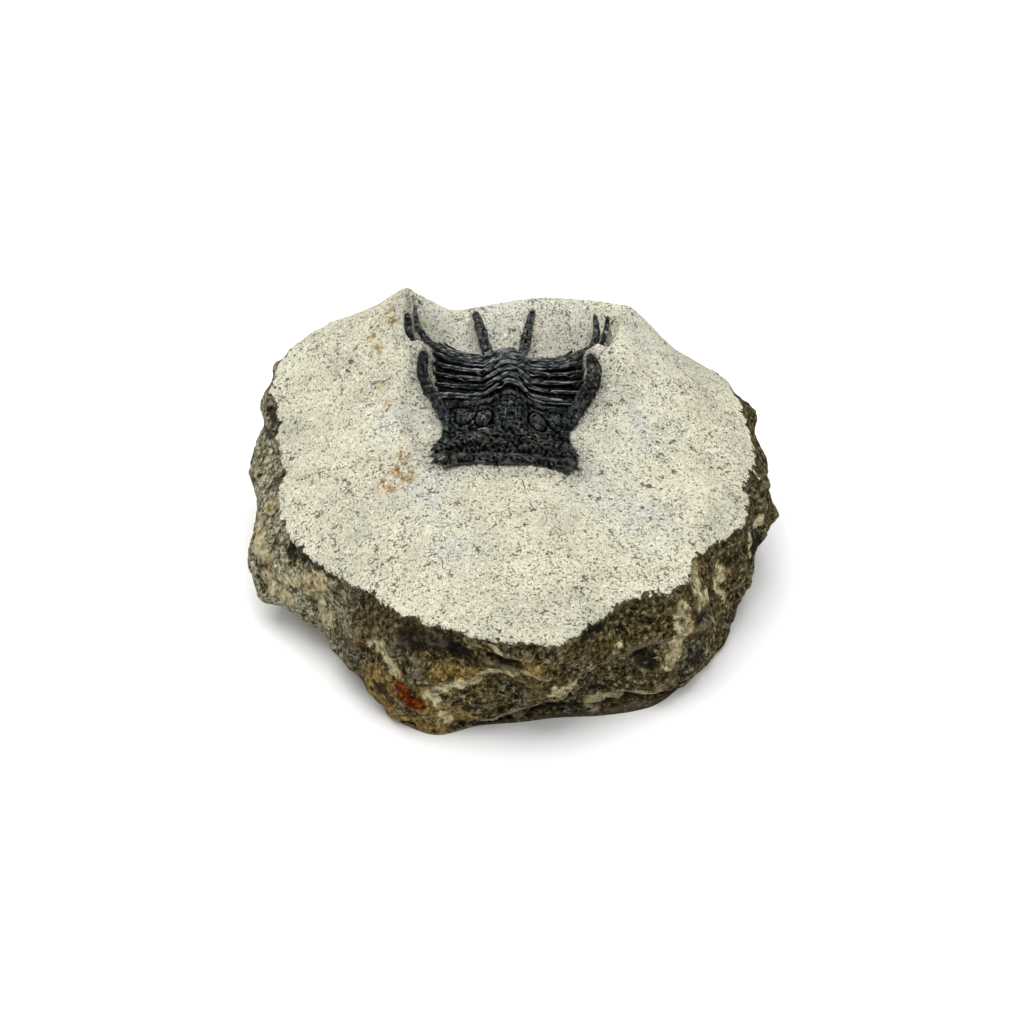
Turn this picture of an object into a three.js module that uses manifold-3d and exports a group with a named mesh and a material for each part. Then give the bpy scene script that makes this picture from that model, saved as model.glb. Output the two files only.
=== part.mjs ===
// A spiny trilobite, prepared out of the top of a rough block of limestone.
// Millimetres, +Z up. The origin is on the resting plane, under the middle of the block.
// The head of the trilobite faces -Y, and its tail spines run up the far side of the bowl behind it.
import * as THREE from "three";
import { mergeVertices } from "three/addons/utils/BufferGeometryUtils.js";
import Module from "manifold-3d";

const wasm = await Module();
wasm.setup();

// Block: closed outlines round the hub, as [x, y, z]
const HUB = { x: -1, y: 8 };

// Edge between the tooled top and the broken sides
const RIM = [
  [1, -37.6, 18], [8.5, -36.8, 17.6], [12, -32.5, 18], [15.5, -29, 18.3], [19, -27.3, 18.5],
  [26, -24, 18], [26.8, -20, 18.8], [29, -16.8, 19], [34.5, -11.8, 19], [36.3, -9.5, 19],
  [35.4, -3.5, 19.5], [37.4, 2, 20], [37.8, 8, 20], [37, 13, 20.5], [36.2, 18, 21],
  [34.2, 24, 21.3], [28.5, 29, 22], [18, 33, 24], [7, 35, 25.4], [-3, 35.2, 24.5],
  [-13, 34.8, 27.3], [-22, 32.5, 29], [-30, 28.5, 28.6], [-36.2, 23.6, 26.8], [-38.4, 19.5, 24],
  [-37.2, 15.5, 21.3], [-37.4, 12, 19.8], [-36.2, 8, 18.6], [-35.2, 3, 18], [-35.6, -3, 17.5],
  [-35, -6.5, 17], [-32.5, -13.4, 17], [-26.4, -21, 17], [-21.7, -24.4, 17], [-17, -29.4, 17.6],
  [-12, -33.2, 18], [-8.8, -34, 18.2], [-6, -36.2, 18.2],
];

// Widest line of the broken sides
const GIRDLE = [
  [1, -38, 9], [8, -36.8, 8], [13, -34.8, 6], [19, -33.6, 4], [23.6, -31.8, 3.5], [27.5, -28, 4],
  [31.3, -22, 5], [34.6, -14.5, 5.5], [37.6, -7.5, 7], [39.2, -3.5, 9.5], [40.5, 1.5, 11],
  [39.8, 8, 12], [40, 14, 12], [39.1, 19, 13], [37.6, 24, 13], [33, 30, 12], [25.5, 34.1, 11],
  [14, 37.2, 11], [2, 37.85, 11], [-8, 37.85, 12], [-19, 37, 13], [-29, 33.5, 14], [-37.5, 27, 15],
  [-40.6, 20, 14.5],
  [-40.8, 12, 13], [-40.3, 3, 12], [-40.2, -5, 11], [-39.9, -8.5, 9], [-38.2, -11.5, 6.5],
  [-35.6, -13.4, 6.5], [-32.3, -16.4, 6.5], [-29.1, -19.6, 6.5], [-25.8, -24, 6], [-22.6, -28.2, 6],
  [-20.5, -32, 5.5], [-18, -35.6, 5.5], [-14, -38, 6], [-8, -38, 7.5],
];

// Edge of the flat underside that the block rests on
const FOOT = [
  [1.2, -34.6, 0], [7, -33.6, 0], [13.1, -33.2, 0], [19, -32, 0], [22.5, -30, 0], [26, -25.8, 0],
  [29, -21, 0], [32, -14.5, 0], [34.5, -8, 0], [36.5, -1, 0], [37, 6, 0], [36.5, 14, 0],
  [34.5, 21, 0], [29.5, 27.5, 0], [21, 32, 0], [10, 34.5, 0], [0, 35.5, 0], [-10, 35.5, 0],
  [-20, 34, 0], [-29.5, 29.5, 0], [-35.5, 22, 0], [-37.5, 13, 0], [-37.5, 4, 0], [-36.5, -2, 0],
  [-34, -6.5, 0], [-29.5, -11, 0], [-25, -17, 0], [-21.5, -24, 0], [-19.7, -29, 0],
  [-18.6, -32.5, 0], [-16.2, -35, 0], [-11, -37.4, 0], [-5, -35.4, 0],
];

// Crest round the trilobite and its bowl, as [x, y, z, width of the inner slope]
const CREST = [
  [0, -6.5, 23.3, 4], [9, -6.3, 22.9, 4], [13.5, -4, 24, 4], [15.5, 1, 26, 4], [17, 7, 28.8, 4],
  [17, 12, 31.2, 4], [16.4, 16.5, 33, 3.6], [17.5, 21, 34, 5], [19, 25.5, 33.8, 7],
  [14, 28.7, 33, 9], [7, 29.6, 33, 10], [0, 29.6, 32.4, 10], [-5, 29.8, 31.2, 10],
  [-9, 29.8, 30.2, 9], [-12.5, 29, 32.6, 8], [-15, 28, 35, 6], [-17, 26.5, 36.9, 5],
  [-17.4, 21, 35.8, 4], [-17.2, 16.5, 33.6, 3.6], [-18, 11, 31.4, 4], [-18.5, 6, 29.5, 4],
  [-17.5, 1, 27.2, 4], [-14.5, -3.5, 25.2, 4], [-8, -6, 23.8, 4],
];

const BLOCK_STEPS = 76;
const INNER_RINGS = [0.3, 0.52, 0.68, 0.8, 0.91, 1];
const FAN_RINGS = [0.14, 0.4, 0.7, 1];
const WALL_RINGS = [0.12, 0.28, 0.46, 0.64, 0.84, 1];
// How the top falls from the crest to the rim: above 1 it is rounded
const FAN_ROUNDING = 1.2;

// Bed beside the animal, which climbs towards its tail, as [y, z], and the floor of the bowl behind it
const BED_LINE = [
  [-7, 23.2], [-4, 24.2], [0, 25.2], [4, 26.6], [8, 28.4], [12, 30.2], [16, 31.7], [20, 32.5],
];
const BOWL_FLOOR = 27.6;
// Where the bed breaks off into the bowl, in the middle and out at the sides
const BED_EDGE = { middleY: 14, sideY: 15.8, middleWidth: 3.6, sideWidth: 1.4 };
// Rock left standing over the cheek spines, as [x, y, top, radius]
const SHOULDERS = [
  [-14.4, 16, 33.4, 1.9],
  [13.4, 16.4, 33, 1.9],
];
// Scoops between the spines on the far slope, as [x, y, radius, depth]
const SCOOPS = [
  [-10, 23, 4, 1.5],
  [8.3, 23, 4.4, 1.7],
  [-1.1, 23, 2.6, 0.7],
];
// Waves of the broken sides, as [lobes round the block, slant, phase, depth]
const BREAKS = [
  [5, 0.11, 0.3, 0.5],
  [11, -0.23, 1.7, 0.5],
  [19, 0.36, 0.9, 0.4],
];

// Animal: middle line, and how much its right side lies lower and further forward
const MIDDLE_X = -0.9;
const ROLL = -0.05;
const YAW = -0.03;
// Middle line of the head from its front lip, and of the body over its rings to the tail, as [y, z]
const HEAD_LINE = [
  [-3.3, 24.7], [-2.8, 25.6], [-1.6, 25.7], [-0.4, 27.1], [1, 29], [2.8, 30.5], [4.6, 31.4],
  [5.9, 31.75],
];
const BACK_LINE = [
  [6.6, 31.9], [8.2, 32.3], [10, 32.7], [12, 32.95], [13.8, 32.75], [15.5, 31.9], [17, 30.6],
  [18.3, 29],
];
const AXIS_HALF = 3.7;
const AXIS_RISE = 2.1;

// Half width of the head at even steps from its front lip to its back edge
const HEAD_HALF = [9.4, 10.6, 10.9, 10.7, 10.3, 10.1, 10.1, 10.3, 10.5];
const HEAD_THICK = 1.5;
const HEAD_GRID = { across: 28, along: 14, under: 6 };
// How far the corners of the head reach forwards and back
const CORNER_REACH = { front: 1.2, back: 1 };
// Lumps on each half of the head: two side lobes, the eye and the corner knob,
// as [distance from the middle, share from lip to back edge, radius, height]
const HEAD_LUMPS = [
  [3.3, 0.88, 0.9, 0.4],
  [3.2, 0.68, 0.9, 0.4],
  [5.6, 0.76, 1.25, 1.25],
  [9.4, 0.1, 1.5, 0.8],
];
const EYE_RING = { lump: 2, radius: 2, width: 0.5, depth: 0.35 };
const MIDDLE_FURROW = { side: 2.4, width: 0.5, depth: 0.4 };
// Furrows from side to side, as [share from lip to back edge, width, depth]
const CROSS_FURROWS = [
  [0.93, 0.5, 0.45],
  [0.24, 0.8, 0.5],
];
// Sawteeth on the side margins of the head: places from lip to back edge, and from root to tip
const DENTICLE = { count: 4, first: 0.14, step: 0.1, slant: 0.03, root: 0.94, tip: 1.1 };
const DENTICLE_RADIUS = { root: 0.45, tip: 0.12 };

const RINGS = 9;
const RING_GAP = 0.3;
const RING_THICK = 1.2;
const RING_STEPS = 9;
const SECTION_SIDES = 6;
const TIP_HALF = { left: 11.3, right: 12 };
const RIB_SWEEP = 3.6;
// How deep the ribs lie below the axis at the head and at the tail, and how much they fall outwards
const RIB_DROP = { first: 1.4, last: 0.75, outer: 0.6 };
// Narrowing of the body towards the tail, and of each rib towards its tip
const BODY_TAPER = 0.8;
const RIB_TAPER = 0.6;
// The ring that carries the long side spines
const LONG_RING = 7;
// Tail shield: half width, how far its ends droop, and its section at the middle and the ends
const TAIL = { half: 4.6, droop: 0.9, steps: 3, halfWidth: 0.5, halfThick: 0.8, endHalfThick: 0.5 };

// Spines from root to tip, as [x, y, z, radius]
const CHEEK_LEFT = [
  [-9.7, 5.2, 28, 0.8], [-11.3, 6.9, 29, 1], [-12.9, 9.2, 30.1, 0.95], [-13.6, 11.8, 31, 0.85],
  [-13.6, 14.6, 31.9, 0.8], [-14.8, 16.8, 32.1, 0.7], [-16.1, 18.8, 32.6, 0.6], [-16.3, 21.4, 33.8, 0.35],
];
const CHEEK_RIGHT = [
  [8.2, 4.8, 27, 0.8], [9.9, 6, 28.2, 1], [11.8, 7.8, 29.6, 0.95], [12.8, 10, 30.5, 0.9],
  [13, 12.7, 31.2, 0.85], [12.5, 15.2, 31.8, 0.75], [13.2, 17.6, 32.1, 0.6], [15, 22.4, 34.1, 0.3],
];
const SIDE_LEFT = [
  [-8, 16.2, 30.6, 0.35], [-10.9, 17.9, 31, 0.45], [-12.9, 19.1, 31.4, 0.55], [-14.1, 20.3, 32.2, 0.55],
  [-15, 21.9, 33.2, 0.5], [-15.4, 24.5, 34.8, 0.25],
];
const SIDE_RIGHT = [
  [7, 16, 29.8, 0.35], [9.8, 17.5, 30.1, 0.45], [11.9, 18.6, 30.5, 0.55], [13, 19.8, 31, 0.55],
  [13.4, 21.5, 32.2, 0.55], [13.1, 23.7, 33.5, 0.35],
];
const TAIL_LEFT = [
  [-2.4, 18.5, 28.6, 0.8], [-3.5, 19.4, 29, 0.8], [-4.1, 21, 29.6, 0.8], [-4.9, 23.4, 30.9, 0.75],
  [-5.8, 26.5, 32, 0.6],
];
const TAIL_RIGHT = [
  [0.6, 18.5, 28.4, 0.8], [1.4, 19.4, 28.7, 0.8], [1.9, 21, 29.3, 0.8], [2.5, 23.4, 31, 0.7],
  [3.3, 26.8, 32.2, 0.4],
];
// Pale limestone, and the black shell of the animal
const LIMESTONE_LOOK = { color: 0xcdc8b0, roughness: 0.95, metalness: 0 };
const SHELL_LOOK = { color: 0x23272a, roughness: 0.45, metalness: 0 };

// Free space that the rock keeps to the animal, below it, above it, past its ends and past its sides
const CLEARANCE = 0.4;
const CUT_HEADROOM = 2.5;
const CUT_MARGIN = 0.9;
const CUT_SPREAD = 1.05;
const BODY_CUT_STEPS = 9;

const SEARCH_STEPS = 8;

const clamp01 = (t) => Math.min(1, Math.max(0, t));
const mix = (a, b, t) => a + (b - a) * t;
const smooth = (from, to, v) => {
  const t = clamp01((v - from) / (to - from));
  return t * t * (3 - 2 * t);
};
const hump = (distance, radius) => Math.exp(-((distance / radius) ** 2));
const triangleWave = (v) => (2 / Math.PI) * Math.asin(Math.sin(v));

// Value between b and c on the round curve through four even values
function roundStep(a, b, c, d, t) {
  const bend = (2 * a - 5 * b + 4 * c - d) * t * t + (3 * b - a - 3 * c + d) * t ** 3;
  return 0.5 * (2 * b + (c - a) * t + bend);
}

// A closed outline read by its angle round the hub: distance from the hub, height and slope width
function aroundHub(points, samplesPerPoint) {
  const corner = (i) => points[(i + points.length) % points.length];
  const list = [];
  for (let s = 0; s < points.length * samplesPerPoint; s++) {
    const i = Math.floor(s / samplesPerPoint);
    const t = (s % samplesPerPoint) / samplesPerPoint;
    const near = [corner(i - 1), corner(i), corner(i + 1), corner(i + 2)];
    const [x, y, z, width] = near[1].map((_, k) => roundStep(...near.map((p) => p[k]), t));
    const [dx, dy] = [x - HUB.x, y - HUB.y];
    list.push({ angle: Math.atan2(dy, dx), r: Math.hypot(dx, dy), z, width });
  }
  list.sort((p, q) => p.angle - q.angle);
  const turn = 2 * Math.PI;
  return (angle) => {
    const a = ((((angle + Math.PI) % turn) + turn) % turn) - Math.PI;
    const next = Math.max(0, list.findIndex((p) => p.angle > a));
    const q = list[next];
    const p = list[(next + list.length - 1) % list.length];
    const t = ((a - p.angle + turn) % turn) / ((q.angle - p.angle + turn) % turn);
    return { r: mix(p.r, q.r, t), z: mix(p.z, q.z, t), width: mix(p.width, q.width, t) };
  };
}

const rim = aroundHub(RIM, 1);
const girdle = aroundHub(GIRDLE, 10);
const foot = aroundHub(FOOT, 10);
const crest = aroundHub(CREST, 10);

const bedCurve = new THREE.SplineCurve(BED_LINE.map(([y, z]) => new THREE.Vector2(y, z)));
const headCurve = new THREE.SplineCurve(HEAD_LINE.map(([y, z]) => new THREE.Vector2(y, z)));
const backCurve = new THREE.SplineCurve(BACK_LINE.map(([y, z]) => new THREE.Vector2(y, z)));

// Share of a curve's length at which it reaches y
function shareAt(curve, y) {
  let [low, high] = [0, 1];
  for (let i = 0; i < SEARCH_STEPS; i++) {
    const middle = (low + high) / 2;
    if (curve.getPointAt(middle).x < y) low = middle;
    else high = middle;
  }
  return high;
}

// Rock that fills the body from below, under the ribs and the arch of the axis
function coreHeight(side, y) {
  const back = ribSweep(side, TIP_HALF.left).back;
  const share = shareAt(backCurve, y - back);
  return backCurve.getPointAt(share).y - sideDrop(side, share) - RING_THICK / 2 - CLEARANCE;
}

function bedHeight(x, y) {
  const side = Math.abs(x - MIDDLE_X);
  const outer = smooth(8, 12, side);
  const edgeY = mix(BED_EDGE.middleY, BED_EDGE.sideY, outer);
  const width = mix(BED_EDGE.middleWidth, BED_EDGE.sideWidth, outer);
  const beside = bedCurve.getPointAt(shareAt(bedCurve, y)).y;
  const inBody = smooth(12.6, 11.2, side) * smooth(4, 6.5, y);
  const bed = mix(beside, coreHeight(side, y) + ROLL * (x - MIDDLE_X), inBody);
  let z = mix(bed, BOWL_FLOOR, smooth(edgeY, edgeY + width, y));
  for (const [sx, sy, radius, depth] of SCOOPS) z -= depth * hump(Math.hypot(x - sx, y - sy), radius);
  for (const [sx, sy, top, radius] of SHOULDERS) z = mix(z, top, hump(Math.hypot(x - sx, y - sy), radius));
  return z;
}

const byHub = (angle, r, z) => [HUB.x + r * Math.cos(angle), HUB.y + r * Math.sin(angle), z];

function innerPoint(angle, share) {
  const c = crest(angle);
  const r = share * c.r;
  const [x, y] = byHub(angle, r, 0);
  return [x, y, mix(bedHeight(x, y), c.z, smooth(c.r - c.width, c.r, r))];
}

function fanPoint(angle, share) {
  const [c, e] = [crest(angle), rim(angle)];
  return byHub(angle, mix(c.r, e.r, share), mix(c.z, e.z, share ** FAN_ROUNDING));
}

function wallPoint(angle, share) {
  const [e, g, f] = [rim(angle), girdle(angle), foot(angle)];
  const t = share < 0.5 ? share * 2 : share * 2 - 1;
  const bow = (t * Math.PI) / 2;
  const r = share < 0.5 ? mix(e.r, g.r, Math.sin(bow)) : mix(g.r, f.r, 1 - Math.cos(bow));
  const z = share < 0.5 ? mix(e.z, g.z, t) : mix(g.z, f.z, t);
  const wave = ([lobes, slant, phase, depth]) => depth * triangleWave(lobes * angle + slant * z + phase);
  const broken = BREAKS.reduce((sum, one) => sum + wave(one), 0);
  return byHub(angle, r + broken * Math.sin(Math.PI * share) ** 0.7, z);
}

function geometryOf(points, faces) {
  const geometry = new THREE.BufferGeometry();
  geometry.setAttribute("position", new THREE.Float32BufferAttribute(points.flat(), 3));
  geometry.setIndex(faces.flat());
  return geometry;
}

// Faces between neighbouring rings of equal count
function sleeveFaces(rings) {
  const n = rings[0].length;
  const at = (ring, i) => ring * n + (i % n);
  const faces = [];
  for (let i = 0; i < n; i++) {
    for (let k = 0; k + 1 < rings.length; k++) {
      faces.push([at(k, i), at(k + 1, i), at(k + 1, i + 1)]);
      faces.push([at(k, i), at(k + 1, i + 1), at(k, i + 1)]);
    }
  }
  return faces;
}

// A closed skin from a first point, through rings, to a last point
function pointedSolid(first, rings, last) {
  const n = rings[0].length;
  const start = rings.length * n;
  const lastRing = start - n;
  const faces = sleeveFaces(rings);
  for (let i = 0; i < n; i++) {
    const next = (i + 1) % n;
    faces.push([start, i, next]);
    faces.push([start + 1, lastRing + next, lastRing + i]);
  }
  return geometryOf([...rings.flat(), first, last], faces);
}

// A closed skin through rings that stand across Y, with its two end rings filled
function loftSolid(rings) {
  const lastRing = (rings.length - 1) * rings[0].length;
  const fill = (ring) => {
    const outline = ring.map(([x, , z]) => new THREE.Vector2(x, z));
    return THREE.ShapeUtils.triangulateShape(outline, []).map((face) => face.sort((a, b) => a - b));
  };
  const first = fill(rings[0]);
  const last = fill(rings.at(-1)).map(([a, b, c]) => [lastRing + a, lastRing + c, lastRing + b]);
  return geometryOf(rings.flat(), [...sleeveFaces(rings), ...first, ...last]);
}

function blockGeometry() {
  const angles = Array.from({ length: BLOCK_STEPS }, (_, i) => (i / BLOCK_STEPS) * 2 * Math.PI);
  const ring = (point, share) => angles.map((a) => point(a, share));
  const rings = [
    ...INNER_RINGS.map((s) => ring(innerPoint, s)),
    ...FAN_RINGS.map((s) => ring(fanPoint, s)),
    ...WALL_RINGS.map((s) => ring(wallPoint, s)),
  ];
  return pointedSolid([HUB.x, HUB.y, bedHeight(HUB.x, HUB.y)], rings, [HUB.x, HUB.y, 0]);
}

// Leans a point of the animal with the whole body, which lies a little higher on its left
const lean = ([x, y, z]) => [x, y + YAW * (x - MIDDLE_X), z + ROLL * (x - MIDDLE_X)];

function headHalf(along) {
  const last = HEAD_HALF.length - 1;
  const i = Math.min(last - 1, Math.floor(along * last));
  const at = (k) => HEAD_HALF[Math.min(last, Math.max(0, k))];
  return roundStep(at(i - 1), at(i), at(i + 1), at(i + 2), along * last - i);
}

// Small forms of the head, as a height over its plain form
function headRelief(side, along) {
  const length = headCurve.getLength();
  const away = ([sideAt, alongAt]) => Math.hypot(side - sideAt, (along - alongAt) * length);
  const furrow = MIDDLE_FURROW.depth * hump(side - MIDDLE_FURROW.side, MIDDLE_FURROW.width);
  const fromEye = away(HEAD_LUMPS[EYE_RING.lump]);
  let h = -furrow * smooth(0.4, 0.55, along);
  h -= EYE_RING.depth * hump(fromEye - EYE_RING.radius, EYE_RING.width);
  for (const lump of HEAD_LUMPS) h += lump[3] * hump(away(lump), lump[2]);
  for (const [at, width, depth] of CROSS_FURROWS)
    h -= depth * hump((along - at) * length, width) * smooth(10.4, 8.6, side);
  return h;
}

// A point of the head: across from -1 to 1, along from the lip to the back edge,
// lifted square to its plain form or dropped straight down from it
function headPoint(across, along, lift, drop = 0) {
  const middle = headCurve.getPointAt(along);
  const tangent = headCurve.getTangentAt(along);
  const half = headHalf(along);
  const edge = Math.abs(across);
  const side = edge * half;
  const cheek = AXIS_RISE * smooth(2.6, 4.6, side) * smooth(0.35, 0.6, along);
  const droop = cheek + mix(0.6, 1.9, smooth(0, 0.6, along)) * edge ** 2.2;
  const reach = mix(-CORNER_REACH.front, CORNER_REACH.back, along) * edge ** 3;
  const y = middle.x - tangent.y * lift + reach;
  return lean([MIDDLE_X + across * half, y, middle.y + tangent.x * lift - droop - drop]);
}

// Shares across a width, from -1 to 1, and the same with the outermost two pushed out
const acrossShares = (steps) => Array.from({ length: steps + 1 }, (_, i) => (i / steps) * 2 - 1);
const widerShares = (steps) => acrossShares(steps).map((a) => (Math.abs(a) === 1 ? a * CUT_SPREAD : a));

// Head shield, from its relief down to its underside
function headGeometry() {
  const rings = [];
  for (let k = 0; k <= HEAD_GRID.along; k++) {
    const along = k / HEAD_GRID.along;
    const relief = (across) => headRelief(Math.abs(across) * headHalf(along), along);
    const top = acrossShares(HEAD_GRID.across).map((a) => headPoint(a, along, relief(a)));
    const under = acrossShares(HEAD_GRID.under).map((a) => headPoint(a, along, 0, HEAD_THICK));
    rings.push([...under, ...top.reverse()]);
  }
  return loftSolid(rings);
}

// The same rings with two more, which carry the ends outwards and down by the margin
function longerRings(rings) {
  const moved = (ring, step) => ring.map(([x, y, z]) => [x, y + step, z - CUT_MARGIN / 2]);
  return [moved(rings[0], -CUT_MARGIN), ...rings, moved(rings.at(-1), CUT_MARGIN)];
}

// Space that the head lies in, open upwards
function headSpace() {
  const rings = [];
  const shares = widerShares(HEAD_GRID.under);
  for (let k = 0; k <= HEAD_GRID.along; k++) {
    const along = k / HEAD_GRID.along;
    const under = shares.map((a) => headPoint(a, along, 0, HEAD_THICK + CLEARANCE));
    const top = shares.map((a) => headPoint(a, along, 0, -CUT_HEADROOM));
    rings.push([...under, ...top.reverse()]);
  }
  return loftSolid(longerRings(rings));
}

// A bar swept through stations of [x, y, z, half width, half thickness], flat towards ups
function bar(stations, ups, sides) {
  const last = stations.length - 1;
  const at = (i) => new THREE.Vector3(...stations[Math.min(last, Math.max(0, i))]);
  const rings = stations.map(([, , , halfWidth, halfThick], i) => {
    const along = at(i + 1).sub(at(i - 1)).normalize();
    const up = new THREE.Vector3(...ups[i]);
    up.addScaledVector(along, -along.dot(up)).normalize();
    const across = new THREE.Vector3().crossVectors(along, up);
    return Array.from({ length: sides }, (_, s) => {
      const turn = ((s + 0.5) / sides) * 2 * Math.PI;
      const p = at(i).addScaledVector(across, Math.cos(turn) * halfWidth);
      return p.addScaledVector(up, Math.sin(turn) * halfThick).toArray();
    });
  });
  const cap = (i, inner) => {
    const out = at(i).sub(at(inner)).normalize();
    return out.multiplyScalar(stations[i][3] * 0.6).add(at(i)).toArray();
  };
  return pointedSolid(cap(0, 1), rings, cap(last, last - 1));
}

function spine(points, grow = 0) {
  const curve = new THREE.CatmullRomCurve3(points.map(([x, y, z]) => new THREE.Vector3(x, y, z)));
  const steps = (points.length - 1) * 2;
  const stations = Array.from({ length: steps + 1 }, (_, i) => {
    const radius = i % 2 ? (points[(i - 1) / 2][3] + points[(i + 1) / 2][3]) / 2 : points[i / 2][3];
    return [...curve.getPoint(i / steps).toArray(), radius + grow, radius + grow];
  });
  return bar(stations, stations.map(() => [0, -0.4, 1]), SECTION_SIDES);
}

// Sawteeth along one side margin of the head
function denticles(sign, grow = 0) {
  return Array.from({ length: DENTICLE.count }, (_, i) => {
    const along = DENTICLE.first + DENTICLE.step * i;
    const root = headPoint(sign * DENTICLE.root, along, 0, HEAD_THICK / 2);
    const reach = sign * (DENTICLE.tip + grow / 10);
    const tip = headPoint(reach, along - DENTICLE.slant, 0, HEAD_THICK / 2);
    const [thick, thin] = [DENTICLE_RADIUS.root + grow, DENTICLE_RADIUS.tip + grow];
    return bar([[...root, thick, thick], [...tip, thin, thin]], [[0, 0, 1], [0, 0, 1]], 4);
  });
}

// How far a plate's top lies below the middle line, out to the side
function sideDrop(side, share) {
  const bulge = AXIS_RISE * (1 - Math.sqrt(1 - clamp01(side / (AXIS_HALF + 0.4)) ** 2));
  const outer = RIB_DROP.outer * Math.max(0, side - AXIS_HALF) / (TIP_HALF.left - AXIS_HALF);
  return (bulge + outer) * mix(RIB_DROP.first, RIB_DROP.last, smooth(0, 0.6, share));
}

// How far a rib's place lies behind the axis part of its ring, and how steeply it runs back there
function ribSweep(side, tipHalf) {
  const t = Math.max(0, (side - AXIS_HALF) / (tipHalf - AXIS_HALF));
  return { back: RIB_SWEEP * t ** 2, slope: (2 * RIB_SWEEP * t) / (tipHalf - AXIS_HALF) };
}

// A place on the body: share along the middle line, signed share of the half width, depth below the top
function bodyPoint(share, across, depth) {
  const middle = backCurve.getPointAt(share);
  const taper = mix(1, BODY_TAPER, smooth(0.62, 1, share));
  const tipHalf = (across < 0 ? TIP_HALF.left : TIP_HALF.right) * taper;
  const side = Math.abs(across) * tipHalf;
  const sweep = ribSweep(side, tipHalf);
  const [y, z] = [middle.x + sweep.back, middle.y - sideDrop(side, share) - depth];
  return { place: lean([MIDDLE_X + Math.sign(across) * side, y, z]), slope: sweep.slope };
}

// One ring of the body: an arch over the axis, a rib out to each side, and a tip swept back
function ringGeometry(index) {
  const share = (index + 0.5) / (RINGS + 0.9);
  const pitch = backCurve.getLength() / (RINGS + 0.9);
  const tangent = backCurve.getTangentAt(share);
  const up = [0, -tangent.y, tangent.x];
  const stations = [];
  for (let i = -RING_STEPS; i <= RING_STEPS; i++) {
    const across = i / RING_STEPS;
    const { place, slope } = bodyPoint(share, across, 0);
    const taper = mix(1, RIB_TAPER, smooth(0.75, 1, Math.abs(across)));
    const halfWidth = (pitch / Math.hypot(1, slope) - RING_GAP) / 2;
    stations.push([...place, halfWidth * taper, (RING_THICK / 2) * taper]);
  }
  return bar(stations, stations.map(() => up), SECTION_SIDES);
}

// Small tail shield, a short bar across the end of the body
function tailGeometry() {
  const end = backCurve.getPointAt(1);
  const stations = acrossShares(2 * TAIL.steps).map((across) => {
    const place = [MIDDLE_X + across * TAIL.half, end.x + 0.3, end.y - 0.2 - TAIL.droop * across ** 2];
    const halfThick = mix(TAIL.halfThick, TAIL.endHalfThick, Math.abs(across));
    return [...lean(place), TAIL.halfWidth, halfThick];
  });
  return bar(stations, stations.map(() => [0, -0.8, 0.6]), SECTION_SIDES);
}

// Space that the rings lie in, open upwards, and deeper towards the tail, where the rings stand steeper
function bodySpace() {
  const rings = [];
  const shares = widerShares(2 * RING_STEPS);
  for (let k = 0; k <= BODY_CUT_STEPS; k++) {
    const share = k / BODY_CUT_STEPS;
    const depth = RING_THICK * mix(0.5, 0.75, share) + CLEARANCE;
    const under = shares.map((a) => bodyPoint(share, a, depth).place);
    const top = shares.map((a) => bodyPoint(share, a, -CUT_HEADROOM).place);
    rings.push([...under, ...top.reverse()]);
  }
  return loftSolid(longerRings(rings));
}

function solidOf(geometry) {
  const merged = mergeVertices(geometry);
  const vertProperties = merged.attributes.position.array;
  const triVerts = new Uint32Array(merged.index.array);
  return new wasm.Manifold(new wasm.Mesh({ numProp: 3, vertProperties, triVerts }));
}

function geometryFrom(solid) {
  const mesh = solid.getMesh();
  const geometry = new THREE.BufferGeometry();
  geometry.setAttribute("position", new THREE.BufferAttribute(mesh.vertProperties, 3));
  geometry.setIndex(new THREE.BufferAttribute(mesh.triVerts, 1));
  return geometry;
}

const joined = (pieces) => pieces.map(solidOf).reduce((a, b) => a.add(b));

const animal = {
  head_shield: [headGeometry(), spine(CHEEK_LEFT), spine(CHEEK_RIGHT), ...denticles(-1), ...denticles(1)],
};
for (let i = 0; i < RINGS; i++) animal["body_ring_" + (i + 1)] = [ringGeometry(i)];
animal["body_ring_" + LONG_RING].push(spine(SIDE_LEFT), spine(SIDE_RIGHT));
animal.tail_shield = [tailGeometry(), spine(TAIL_LEFT), spine(TAIL_RIGHT)];

const spines = [CHEEK_LEFT, CHEEK_RIGHT, SIDE_LEFT, SIDE_RIGHT, TAIL_LEFT, TAIL_RIGHT];
const spaces = [
  headSpace(),
  bodySpace(),
  ...denticles(-1, CLEARANCE),
  ...denticles(1, CLEARANCE),
  ...spines.map((points) => spine(points, CLEARANCE)),
];
const cut = spaces.reduce((rest, space) => rest.subtract(solidOf(space)), solidOf(blockGeometry()));
const block = cut.decompose().sort((a, b) => b.volume() - a.volume())[0];

const fossil = new THREE.Group();
function addPiece(name, solid, look) {
  const piece = new THREE.Mesh(geometryFrom(solid), new THREE.MeshStandardMaterial(look));
  piece.name = name;
  fossil.add(piece);
}
addPiece("limestone_block", block, LIMESTONE_LOOK);
for (const [name, pieces] of Object.entries(animal)) addPiece(name, joined(pieces), SHELL_LOOK);

export default fossil;
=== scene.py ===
import math

import bmesh
import bpy
import numpy as np
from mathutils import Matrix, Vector, noise
from mathutils.bvhtree import BVHTree


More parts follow.
